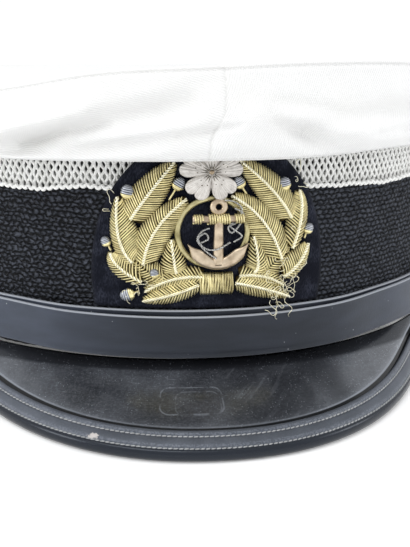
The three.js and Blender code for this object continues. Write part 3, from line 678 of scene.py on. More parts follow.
@dataclass(frozen=True)
class Leather:
    """Smooth dark leather with grain, specks of dust, a painted highlight along its edges and a painted reflection
    that makes it lighter and bluer toward the sides.
    """

    name: str
    face: Colour
    # edge is the colour of the painted highlight along the edges; haze sets the painted reflection toward the
    # sides.
    edge: Colour
    height: float
    roughness: float
    dusty: float
    haze: float = 0.0

    def material(self) -> bpy.types.Material:
        """Makes the leather's material; edges are where v nears 0 or the strip's height."""
        n = Nodes(self.name)
        place = n.millimetres()
        _, v, _ = n.parts(n.cloth())
        grain = n.make("ShaderNodeTexVoronoi", {"Vector": place, "Scale": 1.6})
        rubbed = n.noise(place, 7.0, 4.0, (3.0, 1.0, 0.6))
        # Painted highlight along the strip's top edge, a quarter as strong along its bottom edge.
        edge = (v.rise(0.5, 0.12) * 0.25).math("MAXIMUM", v.rise(self.height - 0.5, self.height - 0.12))
        x, _, _ = n.parts(place)
        # Painted reflection: lighter and bluer toward the sides.
        haze = x.away(8.0).rise(15.0, 75.0) * (rubbed * 0.6 + 0.6) * self.haze
        dust = n.specks(place, 3.1, 0.22) * n.noise(place, 7.0).rise(0.45, 0.6) * self.dusty
        colour = rubbed.rise(0.35, 0.7).blend(self.face, tuple(c * 2.0 for c in self.face))
        colour = haze.blend(colour, (0.11, 0.13, 0.18))
        colour = (edge * 0.85).blend(colour, self.edge)
        colour = dust.blend(colour, (0.35, 0.36, 0.38))
        rough = rubbed * 0.25 + (self.roughness - 0.1) + dust * 0.3
        height = grain * 0.25 + rubbed * 0.6
        return n.finish(colour, rough, height, 0.06, Specular_IOR_Level=0.4, Specular_Tint=(0.82, 0.9, 1.0))


@dataclass(frozen=True)
class PeakShine:
    """Glossy black board: dust, fine scratches, a dull haze and a pressed rounded oblong, with a painted highlight
    along its rim, a painted shadow in the groove by the binding and under the strap, a painted reflection that
    lightens it toward the sides and a darker painted reflection in a patch beside the middle.
    """

    black: Colour = (0.012, 0.013, 0.016)
    # dust is also the colour of the painted highlight and reflections.
    dust: Colour = (0.2, 0.215, 0.245)

    def oblong(self, u: Socket, v: Socket, middle: float, deep: float, half: float, tall: float) -> Socket:
        """Returns 1 on the outline of a rounded oblong: a fixed distance from its core's box."""
        side = u.away(middle) - half
        end = v.away(deep) - tall
        away = (side.math("MAXIMUM", 0.0) ** 2.0 + end.math("MAXIMUM", 0.0) ** 2.0).math("SQRT")
        away = away + side.math("MAXIMUM", end).math("MINIMUM", 0.0)
        return away.away(2.6).rise(0.35, 0.05)

    def material(self) -> bpy.types.Material:
        """Makes the board's material; the map's u runs along the peak and v away from its root."""
        n = Nodes("glossy peak")
        place = n.cloth()
        u, v, _ = n.parts(place)
        haze = n.noise(place, 14.0, 3.0).rise(0.35, 0.75)
        fine = n.noise(place, 1.1, 4.0)
        streak = n.noise(place, 0.35, 2.0, (14.0, 1.0, 1.0)).rise(0.62, 0.8)
        specks = n.specks(place, 2.3, 0.16) * n.noise(place, 9.0).rise(0.45, 0.62)
        specks = specks.math("MAXIMUM", n.specks(place, 9.0, 0.3))
        patchy = n.noise(place, 4.0).rise(0.36, 0.56)
        outline = self.oblong(u, v, -5.9, 16.6, 5.8, 2.2) * patchy
        outline = outline.math("MAXIMUM", self.oblong(u, v, -4.2, 17.6, 3.4, 1.6) * patchy * 0.5)
        smear = n.noise(n.vector(u + v * 0.9, v * 0.25), 2.4, 3.0).rise(0.55, 0.72)
        smear = smear * u.rise(-4.0, 4.0) * u.rise(32.0, 20.0)
        shade = v.rise(5.8, 4.4)
        # Painted reflection: the board turns lighter and glossier toward the sides.
        sides = u.away(-8.0).rise(22.0, 75.0)
        # Painted highlight: a bright line along the field's rim, just inside the groove.
        rim = n.tone().rise(0.2, 0.6) * 0.3 + n.tone().rise(0.46, 0.53) * 0.7
        rim = rim * n.tone().rise(0.62, 0.58)
        # Painted shadow: a black line in the groove beside the binding.
        groove = n.tone().rise(0.59, 0.64)
        # Painted reflection: a darker, less glossy patch beside the middle.
        dark_reflection = u.rise(-2.0, 14.0) * u.rise(44.0, 37.0) * n.noise(place, 11.0).rise(0.2, 0.55)
        dusting = n.specks(place, 0.8, 0.17) * n.noise(place, 5.0).rise(0.4, 0.6)
        grime = (n.noise(place, 0.5, 3.0) * 0.6 + fine * 0.5).rise(0.45, 0.75)
        # Dust, scratches, specks and the pressed oblong, with the painted reflections, highlight and shadow mixed
        # in.
        dust_and_painted_light = haze * 0.18 + grime * 0.14 + streak * 0.22 + specks * 0.8 + outline * 0.34 + 0.03
        dust_and_painted_light = (dust_and_painted_light + sides * 0.2 + smear * 0.22) * (1.0 - dark_reflection * 0.6) * (1.0 - shade * 0.9)
        dust_and_painted_light = dust_and_painted_light + rim * (sides * 1.1 + 0.35) + dusting * 0.5
        coat = (sides * 0.35 + 0.3 - dark_reflection * 0.3) * (1.0 - shade)
        colour = groove.blend(dust_and_painted_light.blend(self.black, self.dust), (0.0, 0.0, 0.0))
        rough = haze * 0.14 + fine * 0.1 + streak * 0.12 + specks * 0.3 + outline * 0.25
        rough = rough + groove * 0.7 + 0.1
        height = fine * 0.25 + haze * 0.6 + outline * 0.3
        return n.finish(colour, rough, height, 0.05, Coat_Weight=coat, Coat_Roughness=0.12,
                        Specular_IOR_Level=0.32, Specular_Tint=(0.8, 0.88, 1.0))


@dataclass(frozen=True)
class BindingShine:
    """Coated binding of the peak: black, slightly grained, dusty beside its seams, chipped, with a painted
    reflection lighter toward the sides and a painted shadow along its inner edge.
    """

    chip: tuple[float, float, float]
    face: Colour = (0.05, 0.056, 0.068)
    nose: Colour = (0.006, 0.008, 0.013)
    bare: Colour = (0.5, 0.47, 0.45)

    def material(self) -> bpy.types.Material:
        """Makes the binding's material; the map's v is the way from its inner edge in mm."""
        n = Nodes("peak binding")
        place = n.millimetres()
        _, v, _ = n.parts(n.cloth())
        grain = n.noise(place, 0.5, 3.0)
        blotch = n.noise(place, 6.0, 3.0)
        colour = v.rise(6.2, 7.2).blend(self.face, self.nose)
        seams = v.away(2.2).rise(1.0, 0.2).math("MAXIMUM", v.away(5.9).rise(0.9, 0.2))
        speckled = n.noise(place, 0.45, 3.0).rise(0.4, 0.62)
        grime = (blotch * 0.7 + grain * 0.5).rise(0.45, 0.95) * v.rise(7.0, 6.0)
        grime = grime * 0.4 + seams * speckled * 0.75
        x, _, _ = n.parts(place)
        # Painted reflection: lighter and bluer toward the sides.
        haze = x.away(5.0).rise(20.0, 80.0) * (blotch * 0.5 + 0.5) * v.rise(7.4, 6.2) * 0.5
        colour = (grime + haze).blend(colour, (0.13, 0.142, 0.17))
        offset = n.make("ShaderNodeVectorMath", {0: place, 1: self.chip}, operation="SUBTRACT")
        away = n.make("ShaderNodeVectorMath", {0: offset, 1: (0.55, 1.2, 1.2)}, operation="MULTIPLY")
        away = n.make("ShaderNodeVectorMath", {0: away}, output="Value", operation="LENGTH")
        chipped = (away * 0.7 + grain * 1.4).rise(1.5, 1.15)
        colour = chipped.blend(colour, self.bare)
        # Painted shadow: black along the inner edge, where the binding meets the board.
        colour = v.rise(0.45, 0.15).blend(colour, (0.0, 0.0, 0.0))
        rough = v.rise(6.2, 7.4) * -0.2 + 0.36 + grain * 0.16 + chipped * 0.3
        height = grain * 0.5 + blotch * 0.5 - chipped * 0.6
        return n.finish(colour, rough, height, 0.1, Coat_Weight=0.1, Coat_Roughness=0.15,
                        Specular_IOR_Level=0.35, Specular_Tint=(0.8, 0.88, 1.0))


@dataclass(frozen=True)
class Wire:
    """Metal embroidery wire: close coils with painted shade between their turns, strands that differ in tone, dull
    old hollows.
    """

    name: str
    light: Colour
    dark: Colour
    coil: float = 0.32
    roughness: float = 0.34
    metallic: float = 0.9
    coil_shade: float = 0.2
    ribs: float = 0.7
    mottle: float = 0.5

    def material(self) -> bpy.types.Material:
        """Makes the wire's material; coils follow the map's u."""
        n = Nodes(self.name)
        u, v, _ = n.parts(n.cloth())
        place = n.millimetres()
        coil = (u + v * self.coil).wave(self.coil)
        tarnish = n.noise(place, 2.2, 3.0)
        middle = 0.4 - self.mottle * 0.5 - self.coil_shade * 0.5
        # Painted shade between the coil's turns and, on leaf wires, toward their ends; tarnish and each strand's
        # tone set the rest.
        shine = n.tone() * 0.5 + tarnish * self.mottle + coil * self.coil_shade + middle
        shine = shine.rise(0.2, 0.95)
        colour = shine.blend(self.dark, self.light)
        rough = (1.0 - tarnish) * 0.2 + (self.roughness - 0.06)
        return n.finish(colour, rough, coil * self.ribs + tarnish * 0.4, 0.07, Metallic=self.metallic)


@dataclass(frozen=True)
class Petals:
    """Silver thread of the blossom: fine rays, grey hollows."""

    light: Colour = (0.78, 0.75, 0.71)
    dark: Colour = (0.45, 0.42, 0.39)

    def material(self) -> bpy.types.Material:
        """Makes the petals' material; the map's u is the angle's share, v the radius in mm."""
        n = Nodes("silver petals")
        u, v, _ = n.parts(n.cloth())
        rays = u.wave(1.0 / 75.0)
        beads = v.wave(0.8) * u.wave(1.0 / 25.0)
        worn = n.noise(n.millimetres(), 1.6, 3.0)
        shine = (rays * 0.12 + worn * 0.75 + n.tone() * 0.3).rise(0.25, 0.95)
        colour = shine.blend(self.dark, self.light)
        return n.finish(colour, worn * 0.3 + 0.3, rays * 0.25 + beads * 0.3, 0.15, Metallic=0.45)


@dataclass(frozen=True)
class Plain:
    """Simple cloth, thread or floor finish with a fine noise in colour and relief."""

    name: str
    colour: Colour
    vary: float = 0.25
    size: float = 0.6
    roughness: float = 0.8
    relief: float = 0.05

    def material(self) -> bpy.types.Material:
        """Makes the material."""
        n = Nodes(self.name)
        place = n.millimetres()
        noise = n.noise(place, self.size, 3.0)
        dark = tuple(c * (1.0 - self.vary) for c in self.colour)
        colour = noise.rise(0.3, 0.7).blend(dark, self.colour)
        return n.finish(colour, noise * 0.15 + (self.roughness - 0.07), noise, self.relief)


class Stuff(Enum):
    """The finishes that more than one piece uses."""

    GOLD = Wire("gold wire", (0.95, 0.85, 0.48), (0.24, 0.19, 0.075), roughness=0.28, mottle=0.6)
    PURL = Wire("bright gold purl", (1.0, 0.97, 0.78), (0.8, 0.7, 0.42), coil=0.5, roughness=0.26)
    # Near black so that it stands for painted shade in the gaps between the wires; the blossom's dots and rays use
    # it too.
    PADDING = Wire("gold padding", (0.09, 0.065, 0.02), (0.02, 0.014, 0.005), roughness=0.6)
    OLIVE = Wire("olive gilt", (0.6, 0.54, 0.3), (0.2, 0.17, 0.07), 2.0, 0.36, coil_shade=0.0, mottle=0.8)
    COPPER = Wire("copper gilt", (0.66, 0.55, 0.41), (0.2, 0.13, 0.07), coil_shade=0.0, ribs=0.0, mottle=0.9)
    SILVER = Wire("silver wire", (0.62, 0.62, 0.6), (0.16, 0.16, 0.16), coil=0.5)
    STRIPED = Wire("bud silver", (0.46, 0.48, 0.52), (0.05, 0.055, 0.07), 0.11, 0.4, coil_shade=0.9)
    LINING = Leather("headband leather", (0.02, 0.019, 0.018), (0.05, 0.045, 0.04), 60.0, 0.5, 0.1)
    THREAD = Plain("grey thread", (0.4, 0.41, 0.42), 0.35, 0.5, 0.6, 0.05)
    WHITE_THREAD = Plain("white thread", (0.8, 0.8, 0.8), 0.15, 0.4, 0.7, 0.04)
    HEM = Plain("net hem", (0.62, 0.62, 0.59), 0.3, 0.8, 0.9, 0.1)
    BUTTON = Plain("black button", (0.02, 0.02, 0.022), 0.3, 1.2, 0.3, 0.03)

    @property
    def material(self) -> bpy.types.Material:
        """Returns the finish's material, made on first use."""
        made = bpy.data.materials.get(self.value.name)
        return made or self.value.material()


def dress(shape: Shape, name: str, materials: Sequence[bpy.types.Material], nodes: Sequence[str] = ()) -> bpy.types.Object:
    """Makes a shape an object that rides on the cap's body.

    Args:
        shape: The shape.
        name: Name of the piece.
        materials: Materials, in the order of the faces' finish numbers.
        nodes: Solids that the piece stands for.

    Returns:
        The object.
    """
    piece = bpy.data.objects.new(name, shape.mesh(name))
    bpy.context.scene.collection.objects.link(piece)
    for material in materials:
        piece.data.materials.append(material)
    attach(piece, "root")
    if nodes:
        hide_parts(*nodes)
    log.info("%s: %d triangles", name, sum(len(f) * (f.shape[1] - 2) for f in shape.faces))
    return piece


@dataclass(frozen=True)
class Fold:
    """A fold in the crown's side: turns in degrees, up as a share of the side's height."""

    start: tuple[float, float]
    end: tuple[float, float]
    depth: float
    width: float


@dataclass
class Crown:
    """The white cover: top, side with its folds, seams and the lip that hangs over the net."""

    height: float = 35.0
    overhang: float = 20.0
    centre: float = 24.0
    bulge: float = 2.2
    lip_reach: float = 8.6
    lip_wall: float = 1.9
    wall: float = 1.5
    fold_depth: float = 3.6
    fold_width: float = 3.4
    turns: int = 720
    rows: int = 66
    seam_base: float = math.radians(0.2)
    seam_radius: float = 110.0
    rim_seam: float = 0.965
    map_radius: float = 112.0
    # Turn in degrees, then the rim's height, the overhang and the lip's height in shares.
    sections: Array = field(default_factory=lambda: np.array([
        (0, 0.986, 0.72, 0.297), (15, 1.014, 0.74, 0.3), (30, 0.986, 0.84, 0.32),
        (55, 0.84, 1.05, 0.29), (90, 0.7, 1.2, 0.22), (135, 0.55, 1, 0.13),
        (180, 0.47, 0.8, 0.09), (225, 0.52, 1, 0.12), (270, 0.63, 1.2, 0.2),
        (305, 0.69, 1.05, 0.25), (330, 0.785, 0.84, 0.257), (345, 0.935, 0.74, 0.283),
    ]))
    folds: tuple[Fold, ...] = (
        Fold((-30, 0.1), (-20, 0.36), 0.7, 1), Fold((-18, 0.4), (-4, 0.63), 0.75, 1),
        Fold((-19, 0.12), (-1, 0.32), 0.55, 0.8), Fold((7, 0.46), (16, 0.14), 0.5, 0.8),
        Fold((13, 0.36), (32, 0.52), 0.5, 0.9), Fold((18, 0.3), (26, 0.28), -0.5, 1.3),
        Fold((-12, 0.26), (-3, 0.34), -0.4, 1.2), Fold((52, 0.3), (84, 0.5), 0.7, 1.4),
        Fold((118, 0.5), (150, 0.3), 0.6, 1.3), Fold((205, 0.35), (236, 0.5), 0.6, 1.3),
        Fold((276, 0.45), (306, 0.3), 0.7, 1.4),
    )
    creases: tuple[Fold, ...] = (
        Fold((-27, 0.22), (-20.5, 0.38), 0.5, 0.35), Fold((-31, 0.16), (-22, 0.32), 0.35, 0.7),
        Fold((-21, 0.385), (-14, 0.42), 0.3, 0.35), Fold((-29, 0.46), (-18, 0.58), -0.7, 0.8),
        Fold((-18, 0.16), (-5, 0.3), 0.22, 0.3), Fold((-5, 0.3), (3, 0.38), 0.2, 0.25),
        Fold((8, 0.4), (14, 0.2), 0.15, 0.4), Fold((5, 0.46), (20, 0.32), -0.4, 0.8),
        Fold((8, 0.62), (17, 0.5), 0.2, 0.5),
        Fold((24, 0.22), (40, 0.3), 0.22, 0.35), Fold((30, 0.5), (44, 0.6), 0.15, 0.4),
        Fold((-48, 0.4), (-36, 0.2), 0.25, 0.4), Fold((60, 0.15), (80, 0.35), 0.25, 0.35),
        Fold((100, 0.3), (125, 0.55), 0.25, 0.4), Fold((160, 0.2), (185, 0.45), 0.2, 0.4),
        Fold((200, 0.6), (222, 0.4), 0.2, 0.4), Fold((250, 0.25), (272, 0.55), 0.25, 0.4),
        Fold((282, 0.2), (300, 0.5), 0.25, 0.35),
    )
    # Share of the way from lip to rim, and the seam's turn there in degrees.
    front_seam: Array = field(default_factory=lambda: np.array([
        (0.0, -0.8), (0.2, -0.7), (0.56, 1.1), (0.75, 1.15), (1.0, 0.8),
    ]))

    def value(self, turn: Array, column: int) -> Array:
        """Reads a column of the sections at a turn, by a smooth curve through four rows."""
        degrees = np.degrees(turn) % 360.0
        starts = self.sections[:, 0]
        count = len(starts)
        i = np.searchsorted(starts, degrees, side="right") - 1
        step = np.append(starts, 360.0)[i + 1] - starts[i]
        t = (degrees - starts[i]) / step
        return through(*(self.sections[(i + k) % count, column] for k in (-1, 0, 1, 2)), t)

    def sizes(self, turn: Array) -> tuple[Array, Array, Array, Array]:
        """Returns the heights of the joint, the rim and the lip, and the rim's overhang."""
        joint = net_top(turn) + BAND.clearance
        lip = np.minimum(self.value(turn, 3) * self.height, joint - 3.0)
        return joint, self.value(turn, 1) * self.height, lip, self.value(turn, 2) * self.overhang

    def depth(self, turn: Array, up: Array, tall: Array, folds: Sequence[Fold]) -> Array:
        """Sums the folds: each is a bell across its line that fades toward the line's ends."""
        degrees = (np.degrees(turn) + 60.0) % 360.0 - 60.0
        radius = math.radians(1.0) * BAND.half_width
        total = np.zeros_like(degrees)
        for fold in folds:
            line = ((fold.end[0] - fold.start[0]) * radius, (fold.end[1] - fold.start[1]) * tall)
            away = ((degrees - fold.start[0]) * radius, (up - fold.start[1]) * tall)
            share = np.clip((away[0] * line[0] + away[1] * line[1]) / (line[0] ** 2 + line[1] ** 2), 0, 1)
            off = np.hypot(away[0] - line[0] * share, away[1] - line[1] * share)
            distance = off / (fold.width * self.fold_width)
            fade = np.sqrt(np.sin(np.pi * mix(0.12, 0.88, share)))
            total += fold.depth * self.fold_depth * np.exp(-distance ** 2) * fade
        return total

    def bent(self, base: Array, up: Array | float) -> Array:
        """Bends the grid's upright lines so that one of them follows the front seam."""
        seam = self.front_seam[0, 1] + 0.0 * np.asarray(up)
        for low, high in zip(self.front_seam[:-1], self.front_seam[1:]):
            seam = seam + (high[1] - low[1]) * smooth(up, low[0], high[0])
        seam = np.radians(seam)
        near = bell(wrapped(base - self.seam_base), 0.0, 0.22)
        return base + (seam - self.seam_base) * near

    def side(self, base: Array, up: Array) -> Array:
        """Places points of the side's outer face.

        The face runs straight from lip to rim, bulges by a sine, sinks at the folds and
        creases, waves slightly, and dips in narrow grooves at its seams.

        Args:
            base: Turn round the head, before the lines are bent to the seam.
            up: Share of the way from lip to rim.

        Returns:
            The points.
        """
        turn = self.bent(base, up)
        _, rim, lip, overhang = self.sizes(turn)
        tall = rim - lip
        fade = smooth(up, 0.0, 0.15) * (1.0 - smooth(up, 0.8, 1.0))
        out = mix(self.lip_reach + self.lip_wall, overhang, up) + self.bulge * np.sin(np.pi * np.sqrt(up))
        for folds in (self.folds, self.creases):
            out = out - self.depth(turn, up, tall, folds) * fade
        ripple = np.sin(turn * 23 + up * 5) * 0.5 + np.sin(turn * 41 - up * 9 + 1.3) * 0.3
        out = out + (ripple + np.sin(turn * 67 + up * 13) * 0.2) * 0.28 * fade
        for line, edge in ((self.seam_base, 1), (math.pi, 1), (math.pi / 2, -1), (-math.pi / 2, 1)):
            away = wrapped(base - line) * self.seam_radius
            step = 0.16 * edge * np.tanh(away / 0.5) * bell(away, 0.0, 4.0)
            out = out - 0.22 * bell(away, 0.0, 0.3) + step
        height = (up - self.rim_seam) * tall
        out = out - 0.26 * bell(height, 0.0, 0.35) + 0.1 * bell(height, -1.4, 0.8)
        return around(out, turn, mix(lip, rim, up))

    def top(self, turn: Array, share: Array, lowered: float) -> Array:
        """Places points of the top: from the centre to the rim, slightly puckered near it."""
        _, rim, _, overhang = self.sizes(turn)
        reach = overhang - lowered
        up = mix(self.centre, rim, share ** 1.6) - lowered
        pucker = np.sin(turn * 61) * 0.5 + np.sin(turn * 37 + 2) * 0.5
        up = up + pucker * 0.22 * smooth(share, 0.7, 0.93) * (1 - smooth(share, 0.97, 1.0))
        up = up + 0.5 * np.sin(turn * 5 + 1) * share * (1 - share)
        x = share * (BAND.half_width + reach) * np.sin(turn)
        y = -share * (BAND.half_length + reach) * np.cos(turn)
        return np.stack([x, y, up], -1)

    def levels(self) -> Array:
        """Returns the heights of the side's rows from rim to lip, as shares of the way up."""
        return np.linspace(0.975, 0.03, self.rows)

    def shape(self) -> Shape:
        """Spins a chain of places round the head: top, side, lip, underside and inner top."""
        even = round_turns(self.turns)
        base = even - 0.45 * np.sin(even)
        for line in (self.seam_base, math.pi):
            after = int(np.searchsorted(base, line))
            base[after - 1:after + 1] = line - 5e-5, line + 5e-5
        turn = self.bent(base, 1.0)
        _, rim, _, overhang = self.sizes(turn)
        shares = np.concatenate([np.linspace(0.03, 0.8, 16), np.linspace(0.83, 0.985, 12)])
        rows = [self.top(turn, share, 0.0) for share in shares]
        top_rows = len(rows)
        edge = rows[-1]
        levels = self.levels()
        start = self.side(base, np.full_like(base, levels[0]))
        corner = around(overhang + 0.15, turn, rim + 0.1)
        rows += [(1 - t) ** 2 * edge + 2 * t * (1 - t) * corner + t * t * start for t in (0.3, 0.6, 0.85)]
        first = len(rows)
        rows += [self.side(base, np.full_like(base, up)) for up in levels]
        turn = self.bent(base, 0.0)
        joint, _, lip, _ = self.sizes(turn)
        half = self.lip_wall / 2
        rows += [
            around(self.lip_reach + half * (1 + math.cos(a)), turn, lip + half * 1.1 * (1 - math.sin(a)))
            for a in np.radians([0, 25, 50, 75, 105, 130, 155, 180])
        ]
        rows += [around(self.lip_reach, turn, mix(lip + 1.2, joint, t)) for t in (0.3, 0.7, 1.0)]
        inner = BAND.headband_outer - BAND.headband_wall
        rows += [around(mix(self.lip_reach, inner, t), turn, joint) for t in (0.3, 0.65, 1.0)]
        rows += [around(mix(inner, self.lip_reach, t), turn, joint + self.wall) for t in (0.0, 0.5, 1.0)]
        rows += [self.top(turn, s, self.wall) for s in (0.94, 0.7, 0.4, 0.03)]
        points = np.stack(rows)
        places = self.cloth_places(points, np.append(base, base[0] + 2 * np.pi), top_rows)
        cloth = surface(points, places, tone=0.0)
        # The side's tone places the painted shade in its folds and creases, and the darker seam lines.
        cloth.tone[first * self.turns:(first + self.rows) * self.turns] = self.hollows(base).ravel()
        return cloth

    def hollows(self, base: Array) -> Array:
        """Returns the side's tone from 0 to 1: painted shade by the depth of its folds and creases, a little
        darker toward the lip, and darker seam lines.
        """
        up = self.levels()[:, None]
        turn = self.bent(base[None], up)
        _, rim, lip, _ = self.sizes(turn)
        tall = rim - lip
        # Painted shade that follows the depth of the folds and creases.
        painted_fold_shade = self.depth(turn, up, tall, self.folds) * 0.6
        painted_fold_shade = painted_fold_shade + self.depth(turn, up, tall, self.creases) * 0.25
        # A little darker toward the lip.
        foot = 0.1 * smooth(up, 0.5, 0.0)
        rim_line = 0.5 * bell((up - self.rim_seam) * tall, 0.0, 0.45)
        front_line = mix(0.5, 0.25, up) * bell((base - self.seam_base) * self.seam_radius, 0.0, 0.3)
        painted_fold_shade = np.clip(painted_fold_shade / self.fold_depth + foot, 0.0, 1.0) * smooth(up, 0.0, 0.1)
        return painted_fold_shade + np.maximum(rim_line, front_line)

    def cloth_places(self, points: Array, turn: Array, top_rows: int) -> Array:
        """Gives the twill's places: v crosses the ribs, whose slant differs between panels."""
        wide = looped(points)
        length = walked(wide, 0)
        along = np.broadcast_to(turn * self.map_radius, length.shape)
        right = (turn > self.seam_base) & (turn < np.pi)
        slant = np.where(right, math.radians(72), math.radians(-22)) + 0.0 * length
        x, y = np.cos(slant), np.sin(slant)
        flat = np.stack([x * along - y * length, -y * along - x * length], -1)
        flat[:top_rows] = wide[:top_rows, :, :2] @ np.array([[0.7, -0.7], [0.7, 0.7]])
        return flat

    def stitches(self) -> Shape:
        """Lays small stitches along the rim's seam."""
        turn = np.linspace(0, 2 * np.pi, 1500)
        path = self.side(turn, np.full_like(turn, 0.955))
        middles, ahead = evenly(path, 2.0)
        normal = unit(middles * [1, 1, 0])
        axes = np.stack([ahead, np.cross(normal, ahead), normal], 1)
        return copies(capsule(0.6, 0.13), middles + normal * 0.06, axes)

    def build(self) -> None:
        """Makes the crown and its stitches."""
        dress(self.shape(), "crown_cloth", [Twill().material()], ["crown"])
        dress(self.stitches(), "crown_rim_stitches", [Stuff.WHITE_THREAD.material])


@dataclass
class Net:
    """White net: upright strands that zigzag and touch by turns, with a hem along its foot."""

    pitch: float = 1.02
    rise: float = 3.3
    half: float = 0.42
    thick: float = 0.4
    sway: float = 0.3
    steps: int = 28

    def strands(self) -> Shape:
        """Carries ovals up the zigzags; neighbours sway in opposite directions."""
        count = int(round(2 * math.pi * BAND.mean_radius / self.pitch / 2)) * 2
        turn0 = round_turns(count)[:, None]
        share = np.linspace(0, 1, self.steps)
        up = mix(net_foot(turn0) - 0.5, net_top(turn0), share)
        sign = np.where(np.arange(count) % 2, 1.0, -1.0)[:, None]
        wave = np.sin(2 * np.pi * up / self.rise)
        loose = 0.12 * np.sin(turn0 * 57 + up) + 0.08 * np.sin(turn0 * 131 - up * 1.7)
        along = sign * (self.sway * np.sign(wave) * np.abs(wave) ** 0.8) + loose
        lean = 0.10 * up * np.sin(turn0 - 0.5)
        paths = on_band(along + lean, up, -0.62 + 0.12 * np.cos(4 * np.pi * up / self.rise), turn0)
        normals = outward(along, turn0)
        rng = np.random.default_rng(4)
        return tubes(paths, normals, self.half, self.thick, 5, tone=rng.random(count))

    def edging(self) -> Shape:
        """A thick soft thread along the foot that hangs in small uneven scallops."""
        turn = round_turns(1800)
        scallop = np.abs(np.sin(turn * 150 + 0.8 * np.sin(turn * 13)))
        uneven = 0.18 * np.sin(turn * 29) + 0.12 * np.sin(turn * 71 + 1)
        path = around(0.62 + 0.15 * scallop, turn, net_foot(turn) + 0.25 - 0.8 * scallop + uneven)
        radius = (0.42 + 0.16 * scallop)[:, None, None]
        ahead = unit(np.roll(path, -1, 0) - np.roll(path, 1, 0))
        normal = np.stack([np.sin(turn), -np.cos(turn), 0 * turn], -1)
        side = unit(np.cross(ahead, normal))
        x, y = np.moveaxis(circle(round_turns(6)), -1, 0)[..., None]
        points = path[:, None] + radius * (x * side[:, None] + y * normal[:, None])
        along = np.append(turn, 2 * np.pi) * BAND.mean_radius
        places = np.stack(np.broadcast_arrays(along[:, None], np.linspace(0, 1, 7)), -1)
        return surface(points, places, chain=True)

    def hem(self) -> Shape:
        """The net's turned-up foot behind the strands, a thin ring."""
        turn = round_turns(360)
        foot = net_foot(turn) + 0.2
        top = foot + 3.0 + 0.5 * np.sin(turn * 9) + 0.3 * np.sin(turn * 31)
        corners = ((-1.75, foot), (-1.3, foot), (-1.3, top), (-1.75, top))
        return surface(np.stack([around(out, turn, up) for out, up in corners], 1), chain=True)

    def build(self) -> None:
        """Makes the net."""
        shape = Shape.joined([self.strands(), self.edging()])
        dress(shape, "net_strands", [Yarn().material()], ["net_band"])
        dress(self.hem(), "net_hem", [Stuff.HEM.material])


def ring_wall(turns: int, section: Callable[[Array], list[tuple[Array, Array]]]) -> Shape:
    """Carries a closed section round the head.

    Args:
        turns: Number of steps round the head.
        section: Gives the section's corners at the turns, each as out and up.

    Returns:
        The ring, whose map has the length along it and the way round its section in mm.
    """
    turn = round_turns(turns)
    points = np.stack([around(out, turn, up) for out, up in section(turn)], 1)
    way = walked(looped(points), 1)
    way = np.concatenate([way, way[:1]], 0)
    along = np.append(turn, 2 * np.pi) * BAND.mean_radius
    return surface(points, np.stack(np.broadcast_arrays(along[:, None], way), -1), chain=True)


